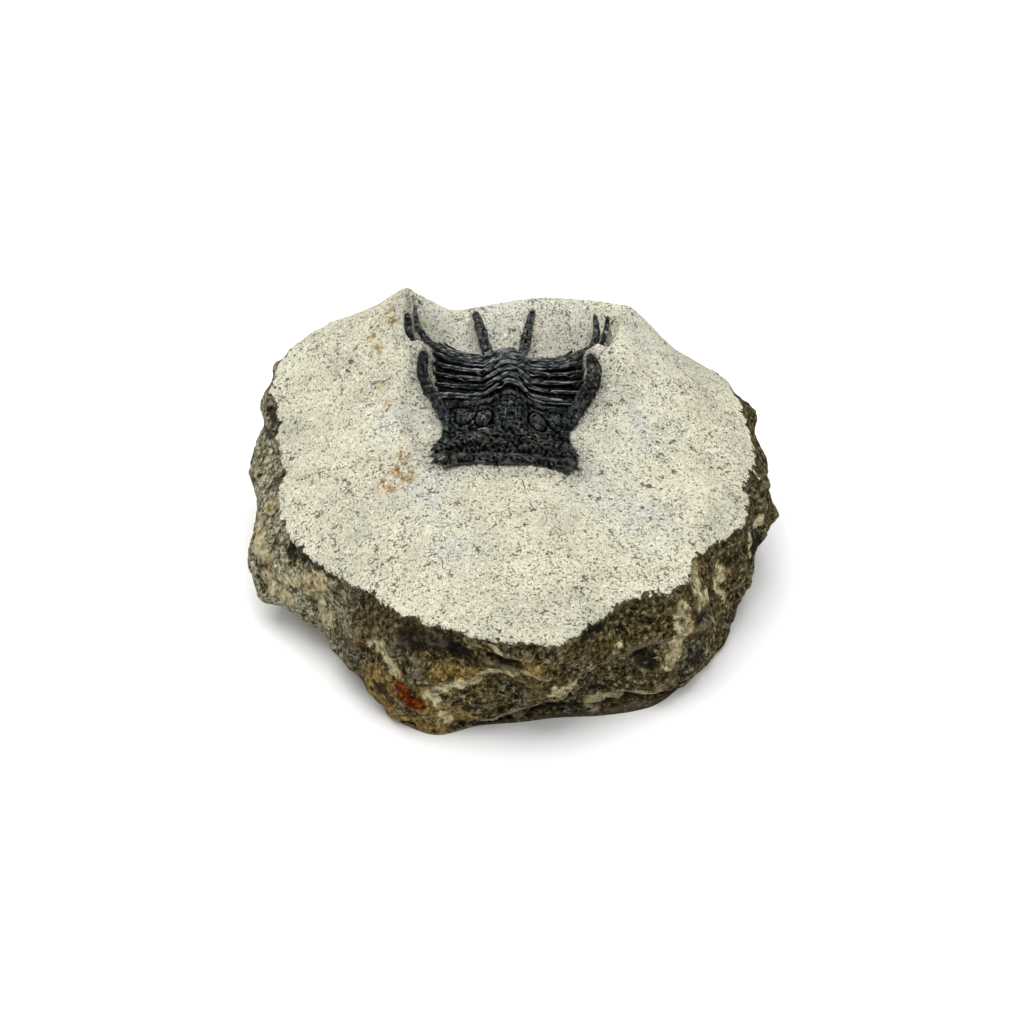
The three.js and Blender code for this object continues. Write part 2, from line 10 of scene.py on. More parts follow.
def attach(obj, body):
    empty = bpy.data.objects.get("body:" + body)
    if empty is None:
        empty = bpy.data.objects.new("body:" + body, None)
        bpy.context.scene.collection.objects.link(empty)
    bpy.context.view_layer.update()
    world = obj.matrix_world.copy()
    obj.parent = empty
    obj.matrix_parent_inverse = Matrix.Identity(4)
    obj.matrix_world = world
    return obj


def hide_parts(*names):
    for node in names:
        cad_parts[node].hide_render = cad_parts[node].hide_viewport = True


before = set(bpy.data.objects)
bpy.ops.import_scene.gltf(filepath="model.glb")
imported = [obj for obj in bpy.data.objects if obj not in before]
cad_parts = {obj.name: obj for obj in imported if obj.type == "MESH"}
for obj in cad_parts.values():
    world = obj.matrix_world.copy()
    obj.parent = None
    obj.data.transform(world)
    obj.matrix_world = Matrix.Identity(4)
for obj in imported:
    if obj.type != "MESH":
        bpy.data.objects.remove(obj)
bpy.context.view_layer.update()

# Lengths are in millimetres, and MM turns them into Blender's metres
MM = 0.001

CAMERA = {"elevation": 38.0, "distance": 380.0, "aim_height": 12.5, "lens": 85.5, "sensor": 36.0}
# Lamps as (place and diameter in metres, power in watts), the even light of the sky, and the paper floor
LAMPS = {
    "overhead": ((-0.08, 0.1, 0.6), 0.75, 4.15),
    "front_fill": ((0.25, -0.6, 0.35), 0.5, 1.2),
}
SKY_STRENGTH = 0.58
FLOOR_HALF = 3000
PAPER = (0.95, 0.95, 0.945, 1)

# Block: closed outlines round the hub, as (x, y, z)
HUB = (-1.0, 8.0)

# Edge between the tooled top and the broken sides
RIM = [
    (1, -37.6, 18), (8.5, -36.8, 17.6), (12, -32.5, 18), (15.5, -29, 18.3), (19, -27.3, 18.5),
    (26, -24, 18), (26.8, -20, 18.8), (29, -16.8, 19), (34.5, -11.8, 19), (36.3, -9.5, 19),
    (35.4, -3.5, 19.5), (37.4, 2, 20), (37.8, 8, 20), (37, 13, 20.5), (36.2, 18, 21),
    (34.2, 24, 21.3), (28.5, 29, 22), (18, 33, 24), (7, 35, 25.4), (-3, 35.2, 24.5),
    (-13, 34.8, 27.3), (-22, 32.5, 29), (-30, 28.5, 28.6), (-36.2, 23.6, 26.8), (-38.4, 19.5, 24),
    (-37.2, 15.5, 21.3), (-37.4, 12, 19.8), (-36.2, 8, 18.6), (-35.2, 3, 18), (-35.6, -3, 17.5),
    (-35, -6.5, 17), (-32.5, -13.4, 17), (-26.4, -21, 17), (-21.7, -24.4, 17), (-17, -29.4, 17.6),
    (-12, -33.2, 18), (-8.8, -34, 18.2), (-6, -36.2, 18.2),
]

# Widest line of the broken sides
GIRDLE = [
    (1, -38, 9), (8, -36.8, 8), (13, -34.8, 6), (19, -33.6, 4), (23.6, -31.8, 3.5), (27.5, -28, 4),
    (31.3, -22, 5), (34.6, -14.5, 5.5), (37.6, -7.5, 7), (39.2, -3.5, 9.5), (40.5, 1.5, 11),
    (39.8, 8, 12), (40, 14, 12), (39.1, 19, 13), (37.6, 24, 13), (33, 30, 12), (25.5, 34.1, 11),
    (14, 37.2, 11), (2, 37.85, 11), (-8, 37.85, 12), (-19, 37, 13), (-29, 33.5, 14), (-37.5, 27, 15),
    (-40.6, 20, 14.5), (-40.8, 12, 13), (-40.3, 3, 12), (-40.2, -5, 11), (-39.9, -8.5, 9),
    (-38.2, -11.5, 6.5), (-35.6, -13.4, 6.5), (-32.3, -16.4, 6.5), (-29.1, -19.6, 6.5),
    (-25.8, -24, 6), (-22.6, -28.2, 6), (-20.5, -32, 5.5), (-18, -35.6, 5.5), (-14, -38, 6),
    (-8, -38, 7.5),
]

# Edge of the flat underside that the block rests on
FOOT = [
    (1.2, -34.6, 0), (7, -33.6, 0), (13.1, -33.2, 0), (19, -32, 0), (22.5, -30, 0), (26, -25.8, 0),
    (29, -21, 0), (32, -14.5, 0), (34.5, -8, 0), (36.5, -1, 0), (37, 6, 0), (36.5, 14, 0),
    (34.5, 21, 0), (29.5, 27.5, 0), (21, 32, 0), (10, 34.5, 0), (0, 35.5, 0), (-10, 35.5, 0),
    (-20, 34, 0), (-29.5, 29.5, 0), (-35.5, 22, 0), (-37.5, 13, 0), (-37.5, 4, 0), (-36.5, -2, 0),
    (-34, -6.5, 0), (-29.5, -11, 0), (-25, -17, 0), (-21.5, -24, 0), (-19.7, -29, 0),
    (-18.6, -32.5, 0), (-16.2, -35, 0), (-11, -37.4, 0), (-5, -35.4, 0),
]

# Crest round the trilobite and its bowl, as (x, y, z, width of the inner slope)
CREST = [
    (0, -6.5, 23.3, 4), (9, -6.3, 22.9, 4), (13.5, -4, 24, 4), (15.5, 1, 26, 4), (17, 7, 28.8, 4),
    (17, 12, 31.2, 4), (16.4, 16.5, 33, 3.6), (17.5, 21, 34, 5), (19, 25.5, 33.8, 7),
    (14, 28.7, 33, 9), (7, 29.6, 33, 10), (0, 29.6, 32.4, 10), (-5, 29.8, 31.2, 10),
    (-9, 29.8, 30.2, 9), (-12.5, 29, 32.6, 8), (-15, 28, 35, 6), (-17, 26.5, 36.9, 5),
    (-17.4, 21, 35.8, 4), (-17.2, 16.5, 33.6, 3.6), (-18, 11, 31.4, 4), (-18.5, 6, 29.5, 4),
    (-17.5, 1, 27.2, 4), (-14.5, -3.5, 25.2, 4), (-8, -6, 23.8, 4),
]
BLOCK_STEPS = 480
HUB_RINGS, INNER_RINGS, FAN_RINGS, WALL_RINGS, UNDER_RINGS = 6, 58, 62, 54, 12
FAN_ROUNDING = 1.2

# Bed beside the animal as (y, z), the floor of the bowl behind it and where the bed breaks off
BED_LINE = [
    (-7, 23.2), (-4, 24.2), (0, 25.2), (4, 26.6), (8, 28.4), (12, 30.2), (16, 31.7), (20, 32.5),
]
BOWL_FLOOR = 27.6
BED_EDGE = {"middle_y": 14.0, "side_y": 15.8, "middle_width": 3.6, "side_width": 1.4}
# Rock left standing over the cheek spines, as (x, y, top, radius)
SHOULDERS = [(-14.6, 16.5, 33.6, 2.0), (13.4, 16.4, 33, 1.9)]
# Scoops between the spines on the far slope, as (x, y, radius, depth)
SCOOPS = [(-10, 23, 4, 1.5), (8.3, 23, 4.4, 1.7), (-1.1, 23, 2.6, 0.7)]
# Waves of the broken sides, as (lobes round the block, slant, phase, depth)
BREAKS = [(5, 0.11, 0.3, 0.5), (11, -0.23, 1.7, 0.5), (19, 0.36, 0.9, 0.4)]

# Animal: middle line, and how much its right side lies lower and further forward
MIDDLE_X = -0.9
ROLL, YAW = -0.05, -0.03
HEAD_LINE = [
    (-3.3, 24.7), (-2.8, 25.6), (-1.6, 25.7), (-0.4, 27.1), (1, 29), (2.8, 30.5), (4.6, 31.4),
    (5.9, 31.75),
]
BACK_LINE = [
    (6.6, 31.9), (8.2, 32.3), (10, 32.7), (12, 32.95), (13.8, 32.75), (15.5, 31.9), (17, 30.6),
    (18.3, 29),
]
AXIS_HALF, AXIS_RISE = 3.7, 2.1
AXIS_BELL, HEAD_BELL, HEAD_RISE = 2.5, 2.8, 2.3
# The arch leans to the right towards the head
CREST_SHIFT = 0.7
HEAD_HALF = [9.4, 10.7, 10.9, 10.5, 10.0, 9.8, 9.8, 9.9, 10.0]
HEAD_THICK = 1.5
HEAD_STEPS = {"across": 150, "along": 96}
CORNER_REACH = {"front": 1.2, "back": 1.0}
# Round swellings of the head, as (signed distance from the middle, share from lip to back, radius, height)
SWELLINGS = [
    (4.1, 0.73, 1.05, 0.95), (-4.1, 0.73, 1.05, 0.8), (7.2, 0.8, 1.2, 0.7), (-7.2, 0.8, 1.15, 0.7),
    (-9.3, 0.09, 1.55, 0.85), (9.6, 0.1, 1.2, 0.75), (0.3, 0.62, 2.2, 0.2), (0.1, 0.38, 1.5, 0.25),
]
# Dark rings round them, as (signed distance from the middle, share, ring radius, width, depth)
MOATS = [
    (4.1, 0.73, 1.45, 0.24, 0.5), (-4.1, 0.73, 1.45, 0.26, 0.4),
    (7.2, 0.8, 1.6, 0.26, 0.3), (-7.2, 0.8, 1.5, 0.26, 0.3),
]
# Welts and furrows across the head, as (share from lip to back, height, half width, sides where it dies)
CROSS_FORMS = [(0.1, 0.2, 0.3, 9.2, 7.6), (0.925, -0.4, 0.3, 9.6, 8), (0.98, 0.12, 0.28, 13, 12)]
# Those along its sides, as (side, height, half width, shares where it starts, shares where it ends)
SIDE_FORMS = [(8.5, -0.3, 0.35, (0.3, 0.4), (0.98, 0.9)), (9.2, 0.15, 0.3, (0.3, 0.45), (1.2, 1.1))]
AXIS_FURROW = {"side": 2.75, "half_width": 0.4, "depth": 0.42}
BORDER_FURROW = {"along": 0.2, "width": 0.6, "depth": 0.4}
DENTICLE = {"count": 4, "first": 0.14, "step": 0.1, "slant": 0.03, "root": 0.94, "tip": 1.07}
DENTICLE_RADIUS = {"root": 0.45, "tip": 0.12}

RINGS, RING_THICK = 9, 1.2
SLOT = {"axis": 0.3, "rib": 0.66}
RING_STEPS, RING_SIDES = 72, 32
TIP_HALF = {"left": 11.6, "right": 12.4}
RIB_SWEEP, TIP_SWEEP = 2.8, 1.5
# The first rings sweep back less
SWEEP_SHARE = {"first": 0.3, "full_at": 0.7}
# How much of its reach each ring's ribs keep
RIB_REACH = [0.92, 0.95, 0.98, 1, 1, 1, 1, 1, 1]
RIB_DROP = {"first": 1.4, "last": 0.75, "outer": 0.6}
BODY_TAPER, RIB_TAPER = 0.8, 0.6
LONG_RING = 7
TAIL = {"half": 4.6, "droop": 0.9, "half_width": 0.5, "half_thick": 0.8, "end_half_thick": 0.5}
TAIL_PLACE = {"behind": 0.3, "below": 0.2}

# Spines from root to tip, as (x, y, z, radius)
CHEEK_LEFT = [
    (-8.9, 2.4, 26.2, 0.45), (-9.9, 4.2, 26.9, 0.8), (-11.3, 6.6, 28.4, 0.95), (-13.1, 9.2, 30, 0.9),
    (-13.9, 11.8, 31, 0.85), (-13.9, 14.6, 31.9, 0.8), (-14.8, 16.8, 32.1, 0.7), (-16.1, 18.8, 32.6, 0.7),
    (-16.5, 21.4, 33.9, 0.6), (-16.5, 22.6, 34.5, 0.35),
]
CHEEK_RIGHT = [
    (7.6, 2.2, 25.6, 0.6), (8.5, 4, 26, 1.2), (9.7, 5.8, 27.2, 1.3), (11.4, 7.8, 29.2, 1.25),
    (12.5, 10, 30.4, 1.2), (12.7, 12.7, 31.2, 1.05), (12.4, 14.8, 31.4, 0.8), (13.6, 17.6, 31.2, 0.45),
    (14.8, 20.2, 33, 0.45), (15.1, 22.2, 34.1, 0.35),
]
SIDE_LEFT = [
    (-8, 16.2, 30.6, 0.35), (-10.9, 17.9, 31, 0.45), (-12.9, 19.1, 31.4, 0.55), (-14.1, 20.3, 32.2, 0.55),
    (-15, 21.9, 33.2, 0.5), (-15.4, 24.5, 34.8, 0.25),
]
SIDE_RIGHT = [
    (7, 16, 29.8, 0.35), (9.8, 17.5, 30.1, 0.45), (11.9, 18.6, 30.5, 0.55), (13, 19.8, 31, 0.55),
    (13.4, 21.5, 32.2, 0.55), (13.1, 23.7, 33.5, 0.35),
]
TAIL_LEFT = [
    (-2.4, 18.5, 28.6, 0.8), (-3.5, 19.4, 29, 0.8), (-4.1, 21, 29.6, 0.8), (-4.9, 23.4, 30.9, 0.75),
    (-5.8, 26.5, 32, 0.6),
]
TAIL_RIGHT = [
    (0.6, 18.5, 28.4, 0.8), (1.4, 19.4, 28.7, 0.8), (1.9, 21, 29.3, 0.8), (2.5, 23.4, 31, 0.7),
    (3.3, 26.8, 32.2, 0.4),
]

# Pale crusts on the shell, as (x, y, radius, strength)
CRUSTS = [
    (-10.3, -3.2, 1.4, 0.9), (-5.4, 2.4, 1.4, 0.65), (-4.2, 1.2, 0.8, 0.6), (3, 0.2, 1.6, 0.5),
    (-5.5, -1, 1.2, 0.4), (8.2, 15.2, 1.5, 0.9), (9.6, 13.4, 0.9, 0.7), (-10, 8.6, 1.2, 0.75),
    (10.4, 9.4, 0.9, 0.6), (-7, 14.8, 1, 0.4), (14.8, 20, 2.2, 0.95), (12.6, 11, 1.3, 0.5),
]

# Spines that lie sunk in the rock, with how high it reaches on them and how wide it swells
SUNK_SPINES = [
    (TAIL_LEFT[1:], 0.65, 1.1), (TAIL_RIGHT[1:], 0.65, 1.1), (SIDE_LEFT[2:], 0.4, 0.7),
    (SIDE_RIGHT[3:], 0.45, 0.8), (CHEEK_LEFT[7:], 0.5, 0.8), (CHEEK_RIGHT[7:], 0.5, 0.7),
]

# Rust on the left shoulder of the tooled top, as (x, y, radius)
RUST_SPOTS = [
    (-19.4, 22.8, 1.0), (-18.9, 20.4, 0.9), (-21.1, 21.2, 0.8), (-22.2, 19.4, 0.8), (-21.3, 16.8, 0.9),
    (-20.3, 9.4, 0.6), (-19.4, 6.1, 0.6), (-16.8, 1.3, 0.5), (-16.9, -3, 1), (-16, -6.2, 1.3),
    (-19.5, -7, 1), (-17.6, -5, 0.9), (-18, -8, 0.8),
]
# Cream and blue-grey clouds of the tooled top, as (x, y, radius)
CREAM_CLOUDS = [
    (-1.8, -8.3, 4), (1.2, -16.4, 6), (4.1, -22, 6), (-7.8, -14, 5), (14, -20, 5), (-28, -4, 6), (25, -3, 5),
    (-26, 12, 5), (-14, -24, 5), (27, 12, 5),
]
BLUE_CLOUDS = [
    (-12.4, -6.7, 3.5), (-12.3, -11, 3), (13, -6, 4.5), (19.2, -13.1, 4.5), (-18, 4, 3.5), (20, 4, 5),
    (-8, -19, 4), (22, 20, 5),
]
# Hairline crack from the lip of the head forwards, as (x, y)
CRACK = [(1.5, -5.6), (2.0, -8), (2.7, -11), (4.8, -16.1), (6.6, -20.7), (7.9, -25.5)]
# Marks on the broken sides are strokes between two places, as (degrees round the hub, z), with a half width
# Cream calcite
CALCITE = [
    ((-46, 17.8), (-47, 16.6), 1.6), ((-38, 13.9), (-38.4, 13.5), 1.8), ((-39.5, 12.4), (-35.5, 8), 0.8),
    ((-45, 13.8), (-48, 14.4), 1.2), ((-20, 13.4), (-23, 10.4), 0.7), ((-17, 14.2), (-17, 13.6), 0.9),
    ((-53, 15), (-53.4, 11.9), 1.4), ((-53.4, 11.9), (-56, 8.9), 1.5), ((-56, 8.9), (-57.4, 6.8), 1),
    ((-72, 0.9), (-66, 1.8), 1.1), ((-66, 1.8), (-60, 1.9), 1.3), ((-69, 12.6), (-67, 13.1), 0.6),
    ((-60, 3.6), (-58, 1.6), 0.5), ((-81, 9), (-76.5, 8.6), 1.2), ((-96, 9.6), (-93, 11.6), 0.7),
    ((-93, 11.6), (-88, 12.9), 0.65), ((-92.5, 16.8), (-91, 15.9), 0.5), ((-95, 16.6), (-94.6, 16.2), 0.4),
    ((-98, 9.4), (-102, 8.9), 0.7), ((-102, 8.9), (-104, 7.6), 0.9), ((-102.5, 6.9), (-100.6, 2.7), 0.8),
    ((-118, 11.5), (-114, 12.7), 1.1), ((-114, 12.7), (-110.6, 9.6), 0.9), ((-139, 13.4), (-135, 14.6), 1.7),
    ((-137, 11), (-132.5, 9.2), 1.9), ((-143, 11.6), (-152, 8.9), 1.2), ((-153, 11.4), (-158, 13.4), 1.3),
    ((-164, 15.7), (-160, 17.6), 0.9), ((-162, 14.4), (-155, 13), 0.8), ((-177, 18.8), (-174, 19.1), 0.8),
    ((-150, 7.4), (-144, 8), 1), ((165, 14), (171, 9), 2), ((150, 9), (158, 12), 1.6),
    ((118, 16), (126, 11), 1.8), ((64, 9), (72, 6), 1.7), ((18, 10), (21, 5), 1.4),
    ((95, 12), (101, 7), 1.6), ((35, 14), (41, 12), 1),
]
# Thin pale veins
VEINS = [
    [(-86.5, 13.6), (-85, 12.7), (-82, 11.4)], [(-136, 12.9), (-129, 12.2), (-124, 10.6)],
    [(-133, 13.6), (-127, 12.6), (-122, 10.8)], [(-46, 11), (-43, 8), (-41, 5)],
    [(-44, 10), (-45.5, 6.5), (-46, 3)], [(-54, 9.6), (-62, 8), (-70, 5.4)],
    [(140, 20), (146, 12), (158, 5)], [(80, 18), (72, 12), (70, 5)],
]
# Dark minerals and shaded pockets
DARK_MARKS = [
    ((-171, 17.6), (-170, 17), 1.5), ((-147, 15.5), (-141, 16.4), 1.1), ((-140, 16.5), (-132, 16.8), 0.9),
    ((-103, 15.8), (-97, 13.8), 1.4), ((-90.5, 14.1), (-87, 14.3), 0.5), ((-51, 14.3), (-49.6, 12.6), 1.3),
    ((-32, 14.4), (-37.5, 15.4), 0.8), ((-25, 10.4), (-17, 10.2), 1), ((-52, 6.4), (-48.5, 4.6), 1.1),
    ((-71, 17.2), (-75, 16.8), 1), ((-97, 5), (-96, 5.8), 0.8), ((-109, 15.7), (-104, 15.8), 1.2),
    ((-19.4, 12.2), (-20.6, 10), 0.6), ((167, 20.4), (174, 18.8), 0.9), ((-114, 6.1), (-111.6, 4.6), 0.9),
    ((-64, 11), (-61, 8), 1.2), ((-160, 9), (-157, 6), 1),
]
# Warm brown zones
BROWN_MARKS = [
    ((-131, 14.6), (-116, 16.2), 2.8), ((-127, 11.4), (-118, 11), 1.6), ((-116, 15.8), (-108, 16.2), 2),
    ((-95, 14.2), (-90, 13.9), 1.5), ((-89, 12.6), (-84, 10), 2), ((-55.5, 14), (-55, 12), 0.8),
    ((-145, 10), (-148, 12.6), 1.1), ((-76, 15), (-70, 13), 1.6), ((-44, 9), (-52, 11), 1.2),
]
# Iron stain on the low front corner, and the ochre round it
IRON = [((-109, 7.6), (-106.4, 5.2), 1.15)]
OCHRE = [
    ((-114, 6.4), (-112, 1), 2.4), ((-112, 1.2), (-103, 1.2), 1.8), ((-105.4, 8), (-104, 5.2), 1.3),
    ((-101.5, 11.3), (-97.5, 10.6), 1.5), ((-104, 5.4), (-98.6, 3.6), 1.8), ((-87.5, 14.4), (-84, 13.2), 1),
    ((20, 12), (26, 8), 2), ((128, 10), (134, 6), 3),
]
# Radius at which degrees round the hub are turned into a distance along the sides
ARC_RADIUS = 38.0
# Lower edge of the overhanging front mass, as (degrees round the hub, z), and how far the wall steps back
OVERHANG = [(-92, 1.5), (-84, 5.4), (-79.7, 6.6), (-76.4, 8.6), (-74, 11)]
STEP_BACK = 3.0
# Small lump at the foot under the overhang, and sharp spur on the right, as (degrees, z, half width in
# degrees, half height, how far it stands out)
LUMPS = [(-87.5, 0.6, 2.4, 1.5, 2.2), (-9.3, 11.4, 1.2, 1.6, 1.4)]
LEDGE = {"from": -94.5, "to": -85.5, "fade": 3, "z": 14.6, "depth": 1.0}
# Smoother stretch of the broken sides, on the low left corner
CALM = {"at": -156, "half_width": 15, "share": 0.75}
# Way from the rim along the broken sides to the foot, and its values for the top inside the crest and below
WALL_SPAN, ON_TOP, UNDERSIDE = 26.0, -5.0, 30.0
# Stretch of the top that is fitted round the animal
ANIMAL_ZONE = {"half_width": 18, "front": -8, "back": 31}
# Distance from the shell past which its nearness no longer counts
FAR_FROM_SHELL = 9.0
# How much of a plate's thickness the rock under it reaches, at least and at most
BEDDING = (0.2, 0.6)
# Black on the rock under and between the ribs, partly the shell's dark matter and partly painted shade in
# the slots: how far it reaches to each side, and how much further behind
BLACK_REACH = {"left": 10.9, "right": 11.8, "behind": 0.5}

TURN = 2 * math.pi


def bell(side, width):
    """0 on the middle line, rising to 1 out to the side."""
    return 1 - np.exp(-((side / width) ** 2))


def clamp01(t):
    return np.clip(t, 0.0, 1.0)


def mix(a, b, t):
    return a + (b - a) * t


def smooth(start, end, value):
    t = clamp01((value - start) / (end - start))
    return t * t * (3 - 2 * t)


def hump(distance, radius):
    return np.exp(-((distance / radius) ** 2))


def round_step(a, b, c, d, t):
    """Value between b and c on the round curve through four even values."""
    bend = (2 * a - 5 * b + 4 * c - d) * t * t + (3 * b - a - 3 * c + d) * t**3
    return 0.5 * (2 * b + (c - a) * t + bend)


def round_path(points, per_step):
    """Points on a round open curve through the given ones."""
    p = np.array(points, float)
    p = np.vstack([p[:1], p, p[-1:]])
    t = (np.arange(per_step) / per_step)[:, None]
    pieces = [round_step(p[i], p[i + 1], p[i + 2], p[i + 3], t) for i in range(len(p) - 3)]
    return np.vstack([*pieces, p[-1:]])


class ProfileLine:
    """A round curve through (y, z) points, read by share of its length."""

    def __init__(self, points):
        self.points = round_path(points, 40)
        steps = np.hypot(*np.diff(self.points, axis=0).T)
        self.reach = np.concatenate([[0], np.cumsum(steps)])
        self.length = self.reach[-1]

    def at(self, share):
        s = clamp01(share) * self.length
        return np.interp(s, self.reach, self.points[:, 0]), np.interp(s, self.reach, self.points[:, 1])

    def tangent(self, share):
        (y0, z0), (y1, z1) = self.at(share - 0.01), self.at(share + 0.01)
        length = np.hypot(y1 - y0, z1 - z0)
        return (y1 - y0) / length, (z1 - z0) / length

    def share_at(self, y):
        return np.interp(y, self.points[:, 0], self.reach) / self.length


def around_hub(points, per_step):
    """A closed outline read by its angle round the hub: distance from the hub, then its other values."""
    ring = np.array(points, float)
    a, b, c, d = (np.roll(ring, k, axis=0)[:, None] for k in (1, 0, -1, -2))
    t = (np.arange(per_step) / per_step)[None, :, None]
    dense = round_step(a, b, c, d, t).reshape(-1, ring.shape[1])
    dx, dy = dense[:, 0] - HUB[0], dense[:, 1] - HUB[1]
    angle = np.arctan2(dy, dx)
    order = np.argsort(angle)
    values = np.column_stack([np.hypot(dx, dy), dense[:, 2:]])[order].T
    return lambda at: [np.interp(at, angle[order], row, period=TURN) for row in values]


rim = around_hub(RIM, 1)
girdle = around_hub(GIRDLE, 10)
foot = around_hub(FOOT, 10)
crest = around_hub(CREST, 10)
bed_line = ProfileLine(BED_LINE)
head_line = ProfileLine(HEAD_LINE)
back_line = ProfileLine(BACK_LINE)


def noise_at(points, size, octaves=1):
    """Soft noise from about -1 to 1 at points in millimetres, with lumps of the given size."""
    scaled = (points.reshape(-1, 3) / size).tolist()
    if octaves == 1:
        values = [noise.noise(p) for p in scaled]
    else:
        values = [noise.fractal(p, 0.9, 2.1, octaves) for p in scaled]
    return np.array(values).reshape(points.shape[:-1])


def facets_at(points, size, blend=0.1):
    """Flat chips of a broken face: each cell tilts its own way, and cells meet in worn edges."""
    values = []
    for p in (points / size).tolist():
        distances, cells = noise.voronoi(p)
        here = Vector(p)
        total, weight = 0.0, 0.0
        for distance, cell in zip(distances, cells):
            share = math.exp((distances[0] - distance) / blend)
            tilt = noise.cell_vector(cell * 7.3) * 2 - Vector((1, 1, 1))
            total += share * (tilt.dot(here - cell) + 0.4 * tilt.x)
            weight += share
        values.append(total / weight)
    return np.array(values)


def mesh_piece(name, points, faces):
    mesh = bpy.data.meshes.new(name)
    mesh.from_pydata((np.asarray(points) * MM).tolist(), [], [list(f) for f in faces])
    mesh.shade_smooth()
    piece = bpy.data.objects.new(name, mesh)
    bpy.context.scene.collection.objects.link(piece)
    return piece


def mark(piece, name, values):
    """Keeps one value for each vertex, which the materials read by name."""
    attribute = piece.data.attributes.new(name, "FLOAT", "POINT")
    attribute.data.foreach_set("value", np.asarray(values, np.float32))


def sleeve_faces(rings, count):
    """Quads between neighbouring closed rings of equal count."""
    i = np.arange(count)
    j = (i + 1) % count
    k = (np.arange(rings - 1) * count)[:, None]
    return np.stack([k + i, k + count + i, k + count + j, k + j], axis=-1).reshape(-1, 4).tolist()


# Animal

def lean(x, y, z):
    """Leans the animal, which lies a little higher on its left."""
    return np.stack([x, y + YAW * (x - MIDDLE_X), z + ROLL * (x - MIDDLE_X)], axis=-1)


def head_half(along):
    last = len(HEAD_HALF) - 1
    half = np.array(HEAD_HALF)
    i = np.minimum(last - 1, np.floor(along * last)).astype(int)
    near = [half[np.clip(i + k, 0, last)] for k in (-1, 0, 1, 2)]
    return round_step(*near, along * last - i)


def head_relief(offset, side, along, places):
    """Forms of the head over its plain shape; offset is signed from the leaning middle line."""
    length = head_line.length
    inner = smooth(9.6, 8.4, side)
    groove = AXIS_FURROW["depth"] * hump(np.abs(offset) - AXIS_FURROW["side"], AXIS_FURROW["half_width"])
    h = -groove * smooth(0.42, 0.55, along) * smooth(0.99, 0.93, along)
    for at, share, radius, height in SWELLINGS:
        h = h + height * hump(np.hypot(offset - at, (along - share) * length), radius)
    for at, share, ring, width, depth in MOATS:
        h = h - depth * hump(np.hypot(offset - at, (along - share) * length) - ring, width)
    furrow = BORDER_FURROW
    touch = 1 - 0.55 * hump(offset - 0.2, 1.7)
    bend = 0.5 * noise_at(np.stack([offset, 0 * offset, 0 * offset], axis=-1), 3.2)
    away = (along - furrow["along"]) * length + bend
    h = h - furrow["depth"] * hump(away, furrow["width"]) * inner * touch
    for share, height, width, last, full in CROSS_FORMS:
        h = h + height * hump((along - share) * length, width) * smooth(last, full, side)
    for at, height, width, start, end in SIDE_FORMS:
        h = h + height * hump(side - at, width) * smooth(*start, along) * smooth(*end, along)
    curls = np.abs(noise_at(places, 1.5, 2))
    h = h + 0.5 * (0.3 - curls) * smooth(0.27, 0.34, along) * smooth(0.72, 0.5, along) * inner
    pores = 0.4 * np.clip(noise_at(places, 0.6) - 0.05, 0, 1)
    grains = 0.34 * noise_at(places, 1.8, 3) + 0.14 * noise_at(places + 9, 0.5) - pores
    return h + grains


def head_point(across, along, lift=0.0, drop=0.0):
    """A point of the head: across from -1 to 1, along from the lip to the back edge."""
    y, z = head_line.at(along)
    ty, tz = head_line.tangent(along)
    half = head_half(along)
    edge = np.abs(across)
    offset = across * half - CREST_SHIFT * smooth(0.2, 0.6, along)
    cheek = HEAD_RISE * bell(offset, HEAD_BELL) * smooth(0.3, 0.66, along)
    droop = cheek + mix(0.6, 1.7, smooth(0, 0.6, along)) * edge**2.2
    reach = mix(-CORNER_REACH["front"], CORNER_REACH["back"], along) * edge**3
    return lean(MIDDLE_X + across * half, y - tz * lift + reach, z + ty * lift - droop - drop)


def head_skin():
    """Closed skin of the head shield without its spines."""
    n_across, n_along = HEAD_STEPS["across"], HEAD_STEPS["along"]
    across, along = np.meshgrid(np.linspace(-1, 1, n_across + 1), np.linspace(0, 1, n_along + 1))
    plain = head_point(across, along)
    side = np.abs(across) * head_half(along)
    offset = across * head_half(along) - CREST_SHIFT * smooth(0.2, 0.6, along)
    top = head_point(across, along, head_relief(offset, side, along, plain))
    under = head_point(across, along, 0.0, HEAD_THICK)
    rings = np.concatenate([under, top[:, ::-1]], axis=1)
    count = rings.shape[1]
    faces = sleeve_faces(n_along + 1, count)
    last = n_along * count
    for i in range(n_across):
        low_i, high_i = i, count - 1 - i
        faces.append([low_i, low_i + 1, high_i - 1, high_i])
        faces.append([last + high_i, last + high_i - 1, last + low_i + 1, last + low_i])
    return rings.reshape(-1, 3), faces


def swept_skin(centres, ups, sections, tips):
    """Closed skin swept along centres; sections holds (across, up) offsets of each ring."""
    ahead = np.vstack([centres[1:], centres[-1:]])
    behind = np.vstack([centres[:1], centres[:-1]])
    along = ahead - behind
    along /= np.linalg.norm(along, axis=1)[:, None]
    up = ups - along * np.sum(ups * along, axis=1)[:, None]
    up /= np.linalg.norm(up, axis=1)[:, None]
    across = np.cross(along, up)
    rings = centres[:, None] + sections[..., :1] * across[:, None] + sections[..., 1:] * up[:, None]
    n, count = rings.shape[:2]
    ends = [centres[0] - along[0] * tips[0], centres[-1] + along[-1] * tips[1]]
    points = np.vstack([rings.reshape(-1, 3), ends])
    faces = sleeve_faces(n, count)
    first, last = n * count, (n - 1) * count
    for i in range(count):
        j = (i + 1) % count
        faces.append([first, i, j])
        faces.append([first + 1, last + j, last + i])
    return points, faces


